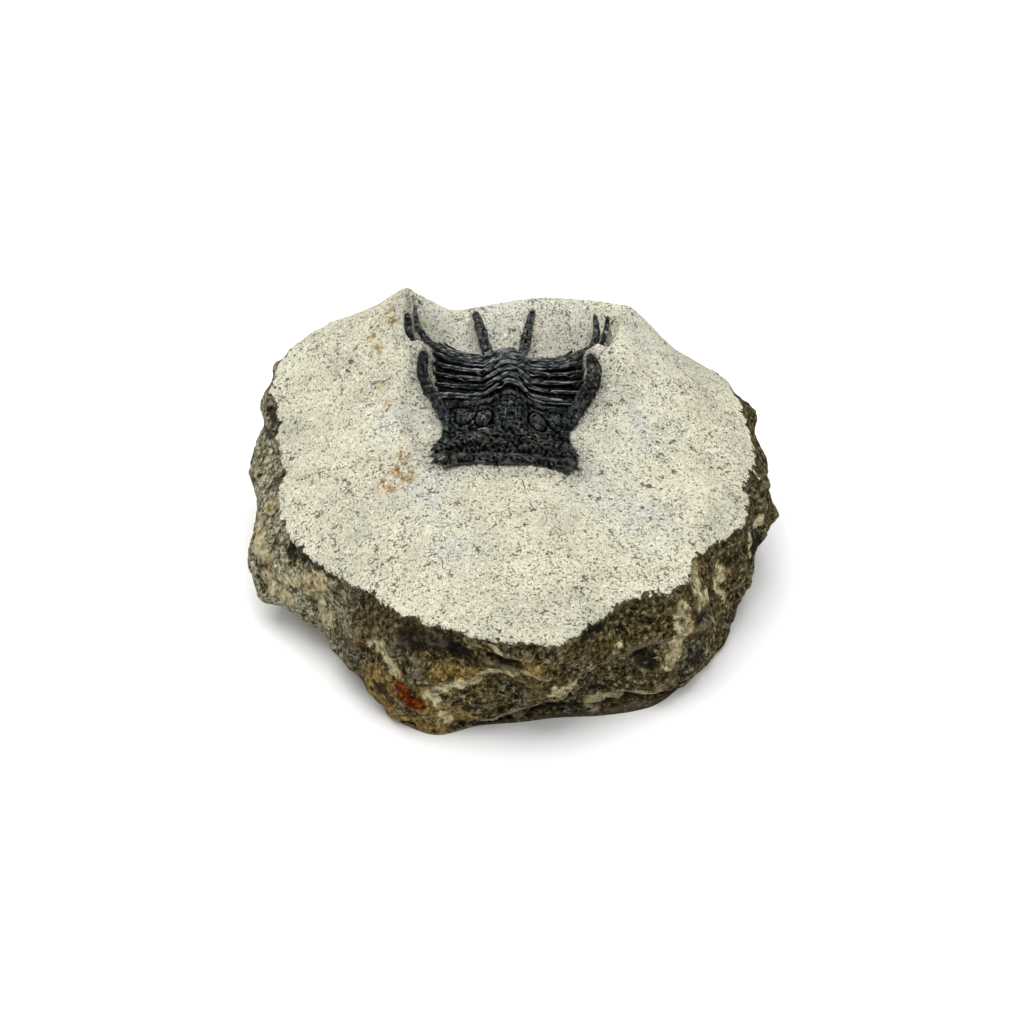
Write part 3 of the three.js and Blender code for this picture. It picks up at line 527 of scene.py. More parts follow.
def blade_skin(points, per_step=12, sides=26):
    """A spine: a rough round blade with a soft ridge along it and a pointed end."""
    path = round_path(points, per_step)
    centres, radius = path[:, :3], path[:, 3]
    turn = (np.arange(sides) + 0.5) / sides * TURN
    wide, high = np.cos(turn), np.sin(turn)
    places = centres[:, None] + radius[:, None, None] * np.stack([wide, 0 * wide, high], axis=-1)[None]
    rough = 0.2 * noise_at(places, 1.1, 2) + 0.2 * noise_at(places, 0.42)
    groove = 0.16 * hump(wide - 0.15, 0.2) * (high > 0)
    swell = 1 + rough - groove[None]
    sections = np.stack([wide * swell, 0.92 * high * swell], axis=-1) * radius[:, None, None]
    ups = np.tile([0.0, -0.4, 1.0], (len(centres), 1))
    return swept_skin(centres, ups, sections, (radius[0] * 0.5, radius[-1] * 1.2))


def denticle_skins(sign):
    """Sawteeth along one side margin of the head."""
    skins = []
    for i in range(DENTICLE["count"]):
        along = DENTICLE["first"] + DENTICLE["step"] * i
        root = head_point(sign * DENTICLE["root"], along, 0.0, HEAD_THICK / 2)
        tip = head_point(sign * DENTICLE["tip"], along - DENTICLE["slant"], 0.0, HEAD_THICK / 2)
        share = np.linspace(0, 1, 6)[:, None]
        centres = mix(root, tip, share)
        radius = mix(DENTICLE_RADIUS["root"], DENTICLE_RADIUS["tip"], share**1.4)
        turn = (np.arange(10) + 0.5) / 10 * TURN
        sections = np.stack([np.cos(turn), np.sin(turn)], axis=-1)[None] * radius[..., None]
        skins.append(swept_skin(centres, np.tile([0.0, 0.0, 1.0], (6, 1)), sections, (0.2, 0.15)))
    return skins


def side_drop(offset, side, share):
    """How far a plate's top lies below the crest, out to the side."""
    outer = RIB_DROP["outer"] * np.maximum(0, side - AXIS_HALF) / (TIP_HALF["left"] - AXIS_HALF)
    steepness = mix(RIB_DROP["first"], RIB_DROP["last"], smooth(0, 0.6, share))
    return (AXIS_RISE * bell(offset, AXIS_BELL) + outer) * steepness


def rib_sweep(side, tip_half, share):
    """How far a rib's place lies behind the axis part of its ring, and how steeply it runs back there."""
    t = np.clip((side - AXIS_HALF) / (tip_half - AXIS_HALF), 0, 1.1)
    much = mix(SWEEP_SHARE["first"], 1, smooth(0, SWEEP_SHARE["full_at"], share))
    slope = much * (2 * RIB_SWEEP * t + 4 * TIP_SWEEP * t**3) / (tip_half - AXIS_HALF)
    return much * (RIB_SWEEP * t**2 + TIP_SWEEP * t**4), slope


def body_point(share, across, reach):
    """A ring's middle line: its points, how steeply they run back, and how far out to the side they lie."""
    y, z = back_line.at(share)
    tip_half = np.where(across < 0, TIP_HALF["left"], TIP_HALF["right"])
    tip_half = tip_half * mix(1, BODY_TAPER, smooth(0.62, 1, share))
    side = np.abs(across) * tip_half * reach
    back, slope = rib_sweep(side, tip_half, share)
    x = np.sign(across) * side
    drop = side_drop(x - CREST_SHIFT * (1 - share), side, share)
    return lean(MIDDLE_X + x, y + back, z - drop), slope, side


def ring_skin(index):
    """One ring of the body: an arch over the axis, and a ridged rib out to each side."""
    share = (index + 0.5) / (RINGS + 0.9)
    pitch = back_line.length / (RINGS + 0.9)
    ty, tz = back_line.tangent(share)
    across = np.arange(-RING_STEPS, RING_STEPS + 1) / RING_STEPS
    centres, slope, side = body_point(share, across, RIB_REACH[index])
    on_rib = smooth(AXIS_HALF - 0.8, AXIS_HALF + 1.5, side)
    taper = mix(1, RIB_TAPER, smooth(0.8, 1, np.abs(across)))
    slot = mix(SLOT["axis"], SLOT["rib"], smooth(3.5, 9, side))
    here = centres + [0, 11.0 * index, 0]
    wander = 0.14 * noise_at(here, 2.4) * smooth(12, 9, side)
    centres[:, 1] += wander
    uneven = 1 + 0.2 * noise_at(here + 31, 1.9, 2)
    half_width = (pitch / np.hypot(1, slope) - slot) / 2 * taper * np.clip(uneven, 0.6, 1.12)
    fore_reach = 0.3 * on_rib * (index == 0)
    half_width = half_width + fore_reach
    centres[:, 1] -= fore_reach
    half_thick = RING_THICK / 2 * taper
    turn = (np.arange(RING_SIDES) + 0.5) / RING_SIDES * TURN
    wide = np.sign(np.cos(turn)) * np.abs(np.cos(turn)) ** 0.75
    high = np.sign(np.sin(turn)) * np.abs(np.sin(turn)) ** 0.75
    on_top = np.clip(np.sin(turn), 0, 1) ** 0.5
    lie = np.stack([side * np.sign(across) * 0.28, 0 * side, 0 * side], axis=-1)[:, None]
    strands = lie + np.stack([0 * wide, wide * 0.8, high * 0.4 + 5.0 * index], axis=-1)[None]
    fibres = noise_at(strands, 0.4, 2)
    lumps = noise_at(strands * 1.5 + 17, 0.9)
    bites = np.clip(noise_at(strands * [2.6, 1, 1] + 53, 1.1) - 0.2, 0, 1)
    ridge = 0.34 * hump(wide + 0.25, 0.6) + 0.1 * hump(wide - 0.6, 0.3)
    valley = 0.22 * hump(wide - 0.35 - 0.3 * noise_at(here, 3.0)[:, None], 0.16)
    relief = ridge[None] - valley * on_rib[:, None]
    relief = (relief + 0.1 * fibres + 0.14 * lumps - 0.9 * bites) * on_top[None]
    furrow = 0.35 * hump(side - AXIS_HALF + 0.1, 0.55)
    up_offset = high[None] * half_thick[:, None] + relief - (furrow[:, None] * on_top[None])
    sections = np.stack([wide[None] * half_width[:, None], up_offset], axis=-1)
    ups = np.tile([0.0, -tz, ty], (len(centres), 1))
    return swept_skin(centres, ups, sections, (half_width[0] * 0.6, half_width[-1] * 0.6))


def tail_skin():
    """The small tail plate behind the last ring."""
    y, z = back_line.at(1.0)
    across = np.linspace(-1, 1, 61)
    droop = TAIL_PLACE["below"] + TAIL["droop"] * across**2
    centres = lean(MIDDLE_X + across * TAIL["half"], y + TAIL_PLACE["behind"] + 0 * across, z - droop)
    thick = mix(TAIL["half_thick"], TAIL["end_half_thick"], np.abs(across))
    turn = (np.arange(20) + 0.5) / 20 * TURN
    rough = 1 + 0.1 * noise_at(centres * [1, 1, 3], 0.8)[:, None]
    wide = np.cos(turn)[None] * TAIL["half_width"] * rough
    section = np.stack([wide, np.sin(turn)[None] * thick[:, None] * rough], axis=-1)
    return swept_skin(centres, np.tile([0.0, -0.8, 0.6], (len(centres), 1)), section, (0.3, 0.3))


def fused(name, main, others):
    """Main skin with others grown onto it, as one clean skin."""
    body = mesh_piece(name, *main)
    bpy.context.view_layer.objects.active = body
    for i, skin in enumerate(others):
        other = mesh_piece(f"{name}_part_{i}", *skin)
        union = body.modifiers.new("grown_on", "BOOLEAN")
        union.operation = "UNION"
        union.solver = "EXACT"
        union.object = other
        bpy.ops.object.modifier_apply(modifier=union.name)
        bpy.data.objects.remove(other)
    body.data.shade_smooth()
    return body


def face_forward(piece):
    """Turns every face outwards."""
    work = bmesh.new()
    work.from_mesh(piece.data)
    bmesh.ops.recalc_face_normals(work, faces=work.faces)
    work.to_mesh(piece.data)
    work.free()


def coordinates(piece):
    places = np.empty(len(piece.data.vertices) * 3, np.float32)
    piece.data.vertices.foreach_get("co", places)
    return places.reshape(-1, 3).astype(float) / MM


def facing(piece):
    """Way that each vertex faces."""
    normals = np.empty(len(piece.data.vertices) * 3, np.float32)
    piece.data.vertices.foreach_get("normal", normals)
    return normals.reshape(-1, 3)


def mark_crests(piece):
    """Marks ridges as 1 and hollows as 0, from how far each vertex stands out of its neighbours."""
    mesh = piece.data
    places = coordinates(piece)
    normals = facing(piece)
    edges = np.empty(len(mesh.edges) * 2, np.int32)
    mesh.edges.foreach_get("vertices", edges)
    a, b = edges.reshape(-1, 2).T
    reach = np.linalg.norm(places[a] - places[b], axis=1) + 1e-6
    bend = np.sum((places[a] - places[b]) * normals[a], axis=1) / reach
    back = np.sum((places[b] - places[a]) * normals[b], axis=1) / reach
    total, count = np.zeros(len(places)), np.zeros(len(places))
    np.add.at(total, a, bend)
    np.add.at(total, b, back)
    np.add.at(count, a, 1)
    np.add.at(count, b, 1)
    value = total / np.maximum(count, 1)
    for _ in range(2):
        spread = np.zeros(len(places))
        np.add.at(spread, a, value[b])
        np.add.at(spread, b, value[a])
        value = 0.5 * value + 0.5 * spread / np.maximum(count, 1)
    mark(piece, "crest", clamp01(0.5 + value * 1.6))


def mark_finish(piece, is_head, places):
    """Marks where the shell is weathered brown or crusted white, how strongly its crests take a painted
    highlight, and its steep flanks, which take painted shade.
    """
    x, y, _ = places.T
    side = np.abs(x - MIDDLE_X)
    far = clamp01(smooth(10.6, 11.6, side) * smooth(3, 5, y) + smooth(19.3, 20.3, y))
    mark(piece, "spine", far)
    front = smooth(2.2, 0.4, y) if is_head else 0 * y
    mark(piece, "weathered", 0.5 * front + 0.6 * hump(y + 2.9, 0.6) * is_head)
    white = sum(weight * hump(np.hypot(x - cx, y - cy), radius) for cx, cy, radius, weight in CRUSTS)
    mark(piece, "crust", clamp01(white))
    # Strength of the painted highlight on the crests, weaker on the head and on the spines
    mark(piece, "crest_highlight", mix(0.95, 0.3, is_head) * (1 - 0.5 * far) + 0 * y)
    # Steep and down-facing sides of the rings and tail, which are painted with shade
    flank_shade = smooth(0.5, 0.1, facing(piece)[:, 2]) * (1 - is_head) * (1 - far)
    mark(piece, "flank_shade", flank_shade)


def build_animal():
    """The shell pieces, each standing for its own plate of the animal."""
    pieces = {}
    grown = [blade_skin(CHEEK_LEFT), blade_skin(CHEEK_RIGHT), *denticle_skins(-1), *denticle_skins(1)]
    pieces["head_shield"] = fused("fossil_head_shield", head_skin(), grown)
    for i in range(RINGS):
        node = f"body_ring_{i + 1}"
        grown = [blade_skin(SIDE_LEFT), blade_skin(SIDE_RIGHT)] if i + 1 == LONG_RING else []
        pieces[node] = fused("fossil_" + node, ring_skin(i), grown)
    tail_spines = [blade_skin(TAIL_LEFT), blade_skin(TAIL_RIGHT)]
    pieces["tail_shield"] = fused("fossil_tail_shield", tail_skin(), tail_spines)
    for node, piece in pieces.items():
        face_forward(piece)
        mark_crests(piece)
        mark_finish(piece, node == "head_shield", coordinates(piece))
        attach(piece, "root")
        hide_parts(node)
    return pieces


def search_tree(pieces):
    """All the given pieces in one tree, for nearest points and rays."""
    points, faces = [], []
    for piece in pieces:
        start = len(points)
        points += [v.co.copy() for v in piece.data.vertices]
        faces += [[start + v for v in face.vertices] for face in piece.data.polygons]
    return BVHTree.FromPolygons(points, faces)


# Rock

def core_height(x, y):
    """Rock that fills the body from below, under the ribs and the arch of the axis."""
    side = np.abs(x - MIDDLE_X)
    first_y, last_y = BACK_LINE[0][0], BACK_LINE[-1][0]
    back, _ = rib_sweep(side, TIP_HALF["left"], clamp01((y - first_y) / (last_y - first_y)))
    share = back_line.share_at(y - back)
    drop = side_drop(x - MIDDLE_X - CREST_SHIFT * (1 - share), side, share)
    return back_line.at(share)[1] - drop - RING_THICK / 2 - 0.35


def bed_height(x, y):
    """Rock round the animal inside the crest: its bed, the bowl behind it and the spines' shoulders."""
    side = np.abs(x - MIDDLE_X)
    outer = smooth(8, 12, side)
    edge_y = mix(BED_EDGE["middle_y"], BED_EDGE["side_y"], outer)
    width = mix(BED_EDGE["middle_width"], BED_EDGE["side_width"], outer)
    beside = bed_line.at(bed_line.share_at(y))[1]
    in_body = smooth(12.6, 11.2, side) * smooth(4, 6.5, y)
    bed = mix(beside, core_height(x, y) + ROLL * (x - MIDDLE_X), in_body)
    t = clamp01((y - edge_y) / width)
    z = mix(bed, BOWL_FLOOR, t * t * (3 - 2 * t))
    for sx, sy, radius, depth in SCOOPS:
        z = z - depth * hump(np.hypot(x - sx, y - sy), radius)
    for sx, sy, top, radius in SHOULDERS:
        z = mix(z, top, hump(np.hypot(x - sx, y - sy), radius))
    return z


def triangle_wave(v):
    return 2 / math.pi * np.arcsin(np.sin(v))


def rock_rings():
    """Rings of the block from the hub out over the crest, down the sides and in under it."""
    angle = np.arange(BLOCK_STEPS) / BLOCK_STEPS * TURN - math.pi
    cosine, sine = np.cos(angle), np.sin(angle)
    (crest_r, crest_z, slope), (rim_r, rim_z) = crest(angle), rim(angle)
    (girdle_r, girdle_z), (foot_r, foot_z) = girdle(angle), foot(angle)
    edge = np.stack([rim_r * cosine, rim_r * sine, rim_z], axis=-1)
    jag = 0.6 * noise_at(edge, 4.5, 2) + 0.34 * noise_at(edge, 1.3, 2)
    rings, from_rim = [], []

    def add(r, z, distance):
        rings.append(np.stack([HUB[0] + r * cosine, HUB[1] + r * sine, z + 0 * r], axis=-1))
        from_rim.append(distance + 0 * r)

    inner = np.concatenate([np.linspace(0.03, 0.24, HUB_RINGS), np.linspace(0.255, 1, INNER_RINGS)])
    for share in inner:
        r = share * crest_r
        bed = bed_height(HUB[0] + r * cosine, HUB[1] + r * sine)
        t = clamp01((r - crest_r + slope) / slope)
        add(r, mix(bed, crest_z, t * t * (3 - 2 * t)), ON_TOP)
    for share in np.arange(1, FAN_RINGS + 1) / FAN_RINGS:
        r = mix(crest_r, rim_r, share) + jag * smooth(0.9, 1, share)
        add(r, mix(crest_z, rim_z, share**FAN_ROUNDING), (share - 1) * (rim_r - crest_r))
    for share in np.arange(1, WALL_RINGS + 1) / WALL_RINGS:
        t = share * 2 if share < 0.5 else share * 2 - 1
        bow = t * math.pi / 2
        if share < 0.5:
            r, z = mix(rim_r, girdle_r, math.sin(bow)), mix(rim_z, girdle_z, t)
        else:
            r, z = mix(girdle_r, foot_r, 1 - math.cos(bow)), mix(girdle_z, foot_z, t)
        broken = sum(d * triangle_wave(n * angle + s * z + p) for n, s, p, d in BREAKS)
        r = r + broken * max(0.0, math.sin(math.pi * share)) ** 0.7 + jag * smooth(0.16, 0, share)
        add(r, z, share * WALL_SPAN)
    for share in np.linspace(1, 0.02, UNDER_RINGS)[1:]:
        add(foot_r * share, 0 * foot_r, UNDERSIDE)
    return np.array(rings), np.array(from_rim), angle


def line_distance(x, y, points):
    """Distance to a bent line, in the plane."""
    best = np.full(np.shape(x), 1e3)
    for (x0, y0), (x1, y1) in zip(points, points[1:]):
        dx, dy = x1 - x0, y1 - y0
        t = clamp01(((x - x0) * dx + (y - y0) * dy) / (dx * dx + dy * dy))
        best = np.minimum(best, np.hypot(x - x0 - t * dx, y - y0 - t * dy))
    return best


def around(degrees, at):
    """Angle in degrees from a place round the hub, from -180 to 180."""
    return (degrees - at + 180) % 360 - 180


def stroke_mask(arc, z, strokes):
    """Soft-edged strokes on the sides, 1 within them and fading out round them."""
    total = np.zeros(np.shape(z))
    for start, end, half in strokes:
        a, b = [(math.radians(degrees) * ARC_RADIUS, height) for degrees, height in (start, end)]
        total = np.maximum(total, 1.6 - line_distance(arc, z, [a, b]) / half)
    return clamp01(total)


def broken_relief(rings, from_rim, angle):
    """How far the broken sides stand in or out of their plain form, in millimetres."""
    wall = (from_rim > 0.2) & (from_rim < WALL_SPAN + 0.5)
    places = rings[wall]
    degrees = np.degrees(np.broadcast_to(angle, from_rim.shape)[wall])
    calm = 1 - CALM["share"] * hump(around(degrees, CALM["at"]), CALM["half_width"])
    chips = 1.5 * facets_at(places * [1, 1, 1.3], 11) * calm + 0.7 * facets_at(places + 40, 4.6)
    crags = 0.5 * noise_at(places * [1, 1, 1.6], 6, 2) + 0.42 * noise_at(places + 80, 2.6, 2)
    rough = crags + 0.24 * noise_at(places, 1.1, 2)
    z = places[:, 2]
    edge = np.interp(degrees, *np.array(OVERHANG).T)
    under = smooth(-0.1, 0.5, edge - z) * smooth(-95, -91, degrees) * smooth(-50, -66, degrees)
    start, end, ledge_fade = LEDGE["from"], LEDGE["to"], LEDGE["fade"]
    in_ledge = smooth(start, start + ledge_fade, degrees) * smooth(end, end - ledge_fade, degrees)
    notch = LEDGE["depth"] * in_ledge * smooth(0.8, 0.1, np.abs(z - LEDGE["z"]))
    steps = -STEP_BACK * under - notch
    for at, height, half_width, half_height, out in LUMPS:
        steps = steps + out * hump(degrees - at, half_width) * hump(z - height, half_height)
    fade = smooth(0, 1.8, from_rim[wall]) * smooth(WALL_SPAN + 0.2, WALL_SPAN - 1.4, from_rim[wall])
    above_foot = smooth(WALL_SPAN, WALL_SPAN - 0.5, from_rim[wall])
    relief = np.zeros(from_rim.shape)
    relief[wall] = (chips + rough) * fade + steps * above_foot
    return relief


def path_lift(x, y, z, path, sink, width):
    """Rock swelling up round a spine, so that it lies sunk in the rock to the given share."""
    line = round_path(path, 4)
    best = np.full(len(x), 1e3)
    target = np.zeros(len(x))
    for px, py, pz, radius in line:
        away = np.hypot(x - px, y - py)
        closer = away < best
        target[closer] = pz + radius * sink
        best[closer] = away[closer]
    return z + np.maximum(0, target - z) * hump(best, width)


def sink_animal(places, zone, shell):
    """Fits the rock to the animal. Gives each place's distance from the shell and what the shell covers."""
    near = np.full(len(places), FAR_FROM_SHELL)
    covered = np.zeros(len(places))
    x, y, z = places[zone].T
    for path, sink, width in SUNK_SPINES:
        z = path_lift(x, y, z, path, sink, width)
    places[zone, 2] = z
    for i in np.flatnonzero(zone):
        x, y, z = places[i]
        high = shell.ray_cast(Vector((x, y, 60)) * MM, Vector((0, 0, -1)))[0]
        if high is not None:
            low = shell.ray_cast(Vector((x, y, 0)) * MM, Vector((0, 0, 1)))[0]
            top_z, low_z = high.z / MM, low.z / MM
            over = min(math.hypot(x - s[0], y - s[1]) / s[3] for s in SHOULDERS) < 1.1
            if not (over and z > top_z):
                least, most = (mix(low_z, top_z, share) for share in BEDDING)
                places[i, 2] = min(max(z, least), most)
            covered[i] = 1
        near[i] = shell.find_nearest(Vector(places[i]) * MM)[3] / MM
    return near, covered


def build_rock(shell):
    """The block, with its top fitted round the animal; shell is the animal's search tree."""
    rings, from_rim, angle = rock_rings()
    relief = broken_relief(rings, from_rim, angle)
    outward = np.stack([np.cos(angle), np.sin(angle), 0 * angle], axis=-1)
    rings = rings + relief[..., None] * outward[None]
    places = rings.reshape(-1, 3)
    distance = from_rim.reshape(-1)

    top = distance <= 0
    flat = places[top]
    swell = 0.3 * noise_at(flat, 8) + 0.1 * noise_at(flat, 2.2, 2) + 0.06 * noise_at(flat, 0.8, 2)
    places[top, 2] += swell * smooth(0, -1.5, distance[top])
    places[:, 2] = np.maximum(places[:, 2], 0)
    beside, along = np.abs(places[:, 0] - MIDDLE_X), places[:, 1]
    zone = top & (beside < ANIMAL_ZONE["half_width"])
    zone &= (along > ANIMAL_ZONE["front"]) & (along < ANIMAL_ZONE["back"])
    near, covered = sink_animal(places, zone, shell)

    count = BLOCK_STEPS
    hub = len(places)
    faces = sleeve_faces(len(rings), count)
    for i in range(count):
        j = (i + 1) % count
        faces.append([hub, i, j])
        faces.append([hub + 1, hub - count + j, hub - count + i])
    middle = places[:count, 2].mean()
    points = np.vstack([places, [HUB[0], HUB[1], middle], [HUB[0], HUB[1], 0]])
    rock = mesh_piece("limestone_matrix", points, faces)
    distance = np.append(distance, [ON_TOP, UNDERSIDE])
    near = np.append(near, [0, FAR_FROM_SHELL])
    mark_rock(rock, points, distance, near, np.append(covered, [1, 0]))
    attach(rock, "root")
    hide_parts("limestone_block")
    return rock


def mark_rock(rock, points, distance, near, covered):
    """Marks where each mineral and stain lies, and where shade is painted, from the places seen on the real
    stone.
    """
    x, y, z = points.T
    degrees = np.degrees(np.arctan2(y - HUB[1], x - HUB[0]))
    offset = x - MIDDLE_X
    side = np.abs(offset)
    reach = np.where(offset < 0, BLACK_REACH["left"], BLACK_REACH["right"])
    reach = reach + BLACK_REACH["behind"] * smooth(9, 13, y)
    # Black under and between the ribs: partly the shell's dark matter, partly painted shade in the slots
    in_body = smooth(0.1, -0.5, side - reach) * smooth(5.6, 6.4, y) * smooth(19.6, 18.6, y)
    in_body = np.maximum(in_body, covered * (side < 9.6))
    marks = {"from_rim": distance, "near_shell": near, "in_body": in_body}
    marks["crack"] = line_distance(x, y, CRACK) + 3 * smooth(-1, 0, distance)
    circles = {"rust": RUST_SPOTS, "cream": CREAM_CLOUDS, "blue": BLUE_CLOUDS}
    for name, spots in circles.items():
        marks[name] = clamp01(sum(hump(np.hypot(x - cx, y - cy), radius) for cx, cy, radius in spots))
    marks["bowl"] = smooth(15, 18, y) * smooth(16, 12, side) * smooth(33, 29, y)
    front_left = 0.9 * smooth(-118, -134, degrees) * (degrees < 0)
    marks["pale_side"] = smooth(138, 152, np.abs(degrees)) + front_left
    arc = np.radians(degrees) * ARC_RADIUS
    strokes = {"calcite": CALCITE, "dark_mark": DARK_MARKS, "brown_mark": BROWN_MARKS}
    strokes |= {"iron": IRON, "ochre": OCHRE}
    for name, places in strokes.items():
        marks[name] = stroke_mask(arc, z, places)
    edge = np.interp(degrees, *np.array(OVERHANG).T)
    beyond = 9 * smooth(-73, -71, degrees) + 9 * smooth(-95, -98, degrees) + 9 * (distance <= 0)
    marks["lip"] = np.abs(z - edge - 0.3) + beyond
    marks["shade"] = smooth(3.2, 1.6, edge - z) * smooth(0.1, 0.6, edge - z) * clamp01(1 - beyond)
    lines = [[(math.radians(a) * ARC_RADIUS, h) for a, h in vein] for vein in VEINS]
    marks["vein"] = np.min([line_distance(arc, z, line) for line in lines], axis=0)
    for name, values in marks.items():
        mark(rock, name, values)
    mark_crests(rock)


# Materials

# Marks of the tools on the pale top, as (size, width, cover, colour)
TOOL_MARKS = [
    (2.2, 0.045, 0.42, (0.06, 0.054, 0.034)), (1.3, 0.07, 0.425, (0.085, 0.075, 0.05)),
    (0.75, 0.1, 0.44, (0.15, 0.135, 0.095)),
]
# Colours from hollow to crest, as (place, colour): of the pale top and its rust, then of the broken sides
PALE_STONE = [(0.3, (0.56, 0.545, 0.425)), (0.5, (0.69, 0.665, 0.51)), (0.7, (0.8, 0.775, 0.605))]
RUST_STAIN = [(0.4, (0.1, 0.045, 0.01)), (0.5, (0.33, 0.175, 0.035)), (0.62, (0.58, 0.39, 0.13))]
OLIVE_STONE = [
    (0.38, (0.005, 0.0038, 0.0015)), (0.45, (0.03, 0.022, 0.008)), (0.52, (0.095, 0.073, 0.028)),
    (0.59, (0.21, 0.17, 0.078)), (0.67, (0.5, 0.45, 0.27)),
]
SLATE_STONE = [
    (0.38, (0.006, 0.0052, 0.0035)), (0.45, (0.03, 0.025, 0.014)), (0.52, (0.09, 0.078, 0.044)),
    (0.59, (0.21, 0.19, 0.12)), (0.67, (0.5, 0.47, 0.34)),
]
BROWN_STONE = [
    (0.36, (0.006, 0.0036, 0.0014)), (0.44, (0.026, 0.016, 0.0055)), (0.53, (0.085, 0.055, 0.02)),
    (0.66, (0.26, 0.19, 0.09)),
]
GREY_STONE = [
    (0.36, (0.02, 0.016, 0.008)), (0.44, (0.13, 0.112, 0.065)), (0.53, (0.35, 0.325, 0.215)),
    (0.64, (0.76, 0.74, 0.57)),
]
CALCITE_STONE = [
    (0.36, (0.16, 0.11, 0.04)), (0.46, (0.42, 0.34, 0.17)), (0.55, (0.66, 0.6, 0.37)),
    (0.68, (0.86, 0.83, 0.6)),
]
OCHRE_STONE = [
    (0.36, (0.03, 0.018, 0.005)), (0.46, (0.14, 0.09, 0.025)), (0.56, (0.32, 0.22, 0.075)),
    (0.68, (0.55, 0.42, 0.2)),
]
IRON_STONE = [(0.38, (0.012, 0.002, 0.001)), (0.5, (0.085, 0.013, 0.002)), (0.62, (0.3, 0.075, 0.01))]
# Colours of the shell from hollow to crest: plain, and the painted highlight laid in streaks along the
# raised crests of the ribs
SHELL_BLACK = [
    (0.42, (0.001, 0.0012, 0.0014)), (0.5, (0.008, 0.0106, 0.0118)), (0.58, (0.042, 0.05, 0.0515)),
    (0.68, (0.26, 0.27, 0.245)),
]
SHELL_CREST_HIGHLIGHT = [
    (0.41, (0.005, 0.0065, 0.007)), (0.47, (0.07, 0.081, 0.084)), (0.55, (0.22, 0.236, 0.228)),
    (0.66, (0.6, 0.61, 0.56)),
]
# Single colours of the top, of the sides and of the shell
TOP = {
    "cream": (0.76, 0.71, 0.53), "ochre": (0.56, 0.47, 0.26), "blue": (0.61, 0.63, 0.58),
    "bowl": (0.68, 0.69, 0.63), "by_shell": (0.45, 0.45, 0.4), "bright": (0.97, 0.955, 0.85),
    "dull": (0.25, 0.225, 0.155), "score": (0.1, 0.1, 0.085), "crack": (0.12, 0.1, 0.06),
}
# Of the sides, the ridge colour is a painted highlight on ridges and the hollow colour is painted shade in
# hollows
SIDE = {
    "dark": (0.009, 0.0085, 0.0075), "rind": (0.15, 0.09, 0.03), "vein": (0.5, 0.45, 0.32),
    "shade": (0.006, 0.005, 0.003), "lip": (0.46, 0.42, 0.28), "ridge": (0.34, 0.3, 0.2),
    "hollow_shade": (0.008, 0.006, 0.0035), "under_rim_band": (0.03, 0.021, 0.01),
}
# Black for the rock under and between the ribs, partly the shell's dark matter and partly painted shade in
# the slots, and painted shade where the rock touches the shell
BODY_BLACK_AND_SHADE, CONTACT_SHADE = (0.0015, 0.0015, 0.0016), (0.06, 0.056, 0.045)
# Of the shell, the slot colour is painted shade for its hollows and steep flanks
SHELL = {
    "cloud": (0.0012, 0.0016, 0.002), "mottle": (0.17, 0.155, 0.12), "olive": (0.15, 0.135, 0.092),
    "crust": (0.5, 0.48, 0.4), "slot": (0.0008, 0.0008, 0.001),
}
# Share of the light that each surface throws back as a sheen
DULL_SHEEN = 0.03
BUMP_STRENGTH = 0.9


def set_inputs(tree, made, inputs):
    """Gives a node's inputs, by name, plain values or another node's output."""
    for key, value in inputs.items():
        if isinstance(value, bpy.types.NodeSocket):
            tree.links.new(value, made.inputs[key])
        else:
            made.inputs[key].default_value = value


def node(tree, kind, inputs, **settings):
    made = tree.nodes.new(kind)
    for key, value in settings.items():
        setattr(made, key, value)
    set_inputs(tree, made, inputs)
    return made


def maths(tree, operation, a, b=0.0):
    return node(tree, "ShaderNodeMath", {0: a, 1: b}, operation=operation).outputs[0]


def times(tree, a, b):
    return maths(tree, "MULTIPLY", a, b)


def step_mask(tree, value, start, end):
    """0 before start, 1 after end, and smooth between."""
    inputs = {"Value": value, "From Min": start, "From Max": end}
    return node(tree, "ShaderNodeMapRange", inputs, interpolation_type="SMOOTHSTEP").outputs["Result"]


def laid(tree, colour, over, mask, strength=1.0):
    """Lays one colour over another where the mask is 1, at the given strength."""
    if strength < 1:
        mask = times(tree, mask, strength)
    if isinstance(over, tuple):
        over = (*over, 1)
    return node(tree, "ShaderNodeMix", {0: mask, 6: colour, 7: over}, data_type="RGBA").outputs[2]


def attribute(tree, name):
    return node(tree, "ShaderNodeAttribute", {}, attribute_name=name).outputs["Fac"]


def ramp(tree, value, stops):
    """Colours along a value, as (place, colour)."""
    made = node(tree, "ShaderNodeValToRGB", {"Fac": value})
    steps = made.color_ramp.elements
    while len(steps) < len(stops):
        steps.new(0.5)
    for step, (place, colour) in zip(steps, stops):
        step.position = place
        step.color = (*colour, 1)
    return made.outputs["Color"]


def position(tree):
    """Place on the object in millimetres."""
    place = node(tree, "ShaderNodeTexCoord", {}).outputs["Object"]
    return node(tree, "ShaderNodeVectorMath", {0: place, "Scale": 1 / MM}, operation="SCALE").outputs[0]


def stretched(tree, place, by):
    """Place squeezed along each axis, so that a pattern read from it runs long there."""
    return node(tree, "ShaderNodeVectorMath", {0: place, 1: by}, operation="MULTIPLY").outputs[0]


def effect(name, values, result):
    """A node group that reads a place and plain values, each with its usual value, and gives one result."""
    tree = bpy.data.node_groups.new(name, "ShaderNodeTree")
    tree.interface.new_socket("Position", in_out="INPUT", socket_type="NodeSocketVector")
    for value_name, usual in values.items():
        socket = tree.interface.new_socket(value_name, in_out="INPUT", socket_type="NodeSocketFloat")
        socket.default_value = usual
    tree.interface.new_socket(result, in_out="OUTPUT", socket_type="NodeSocketFloat")
    return tree, tree.nodes.new("NodeGroupInput").outputs, tree.nodes.new("NodeGroupOutput").inputs


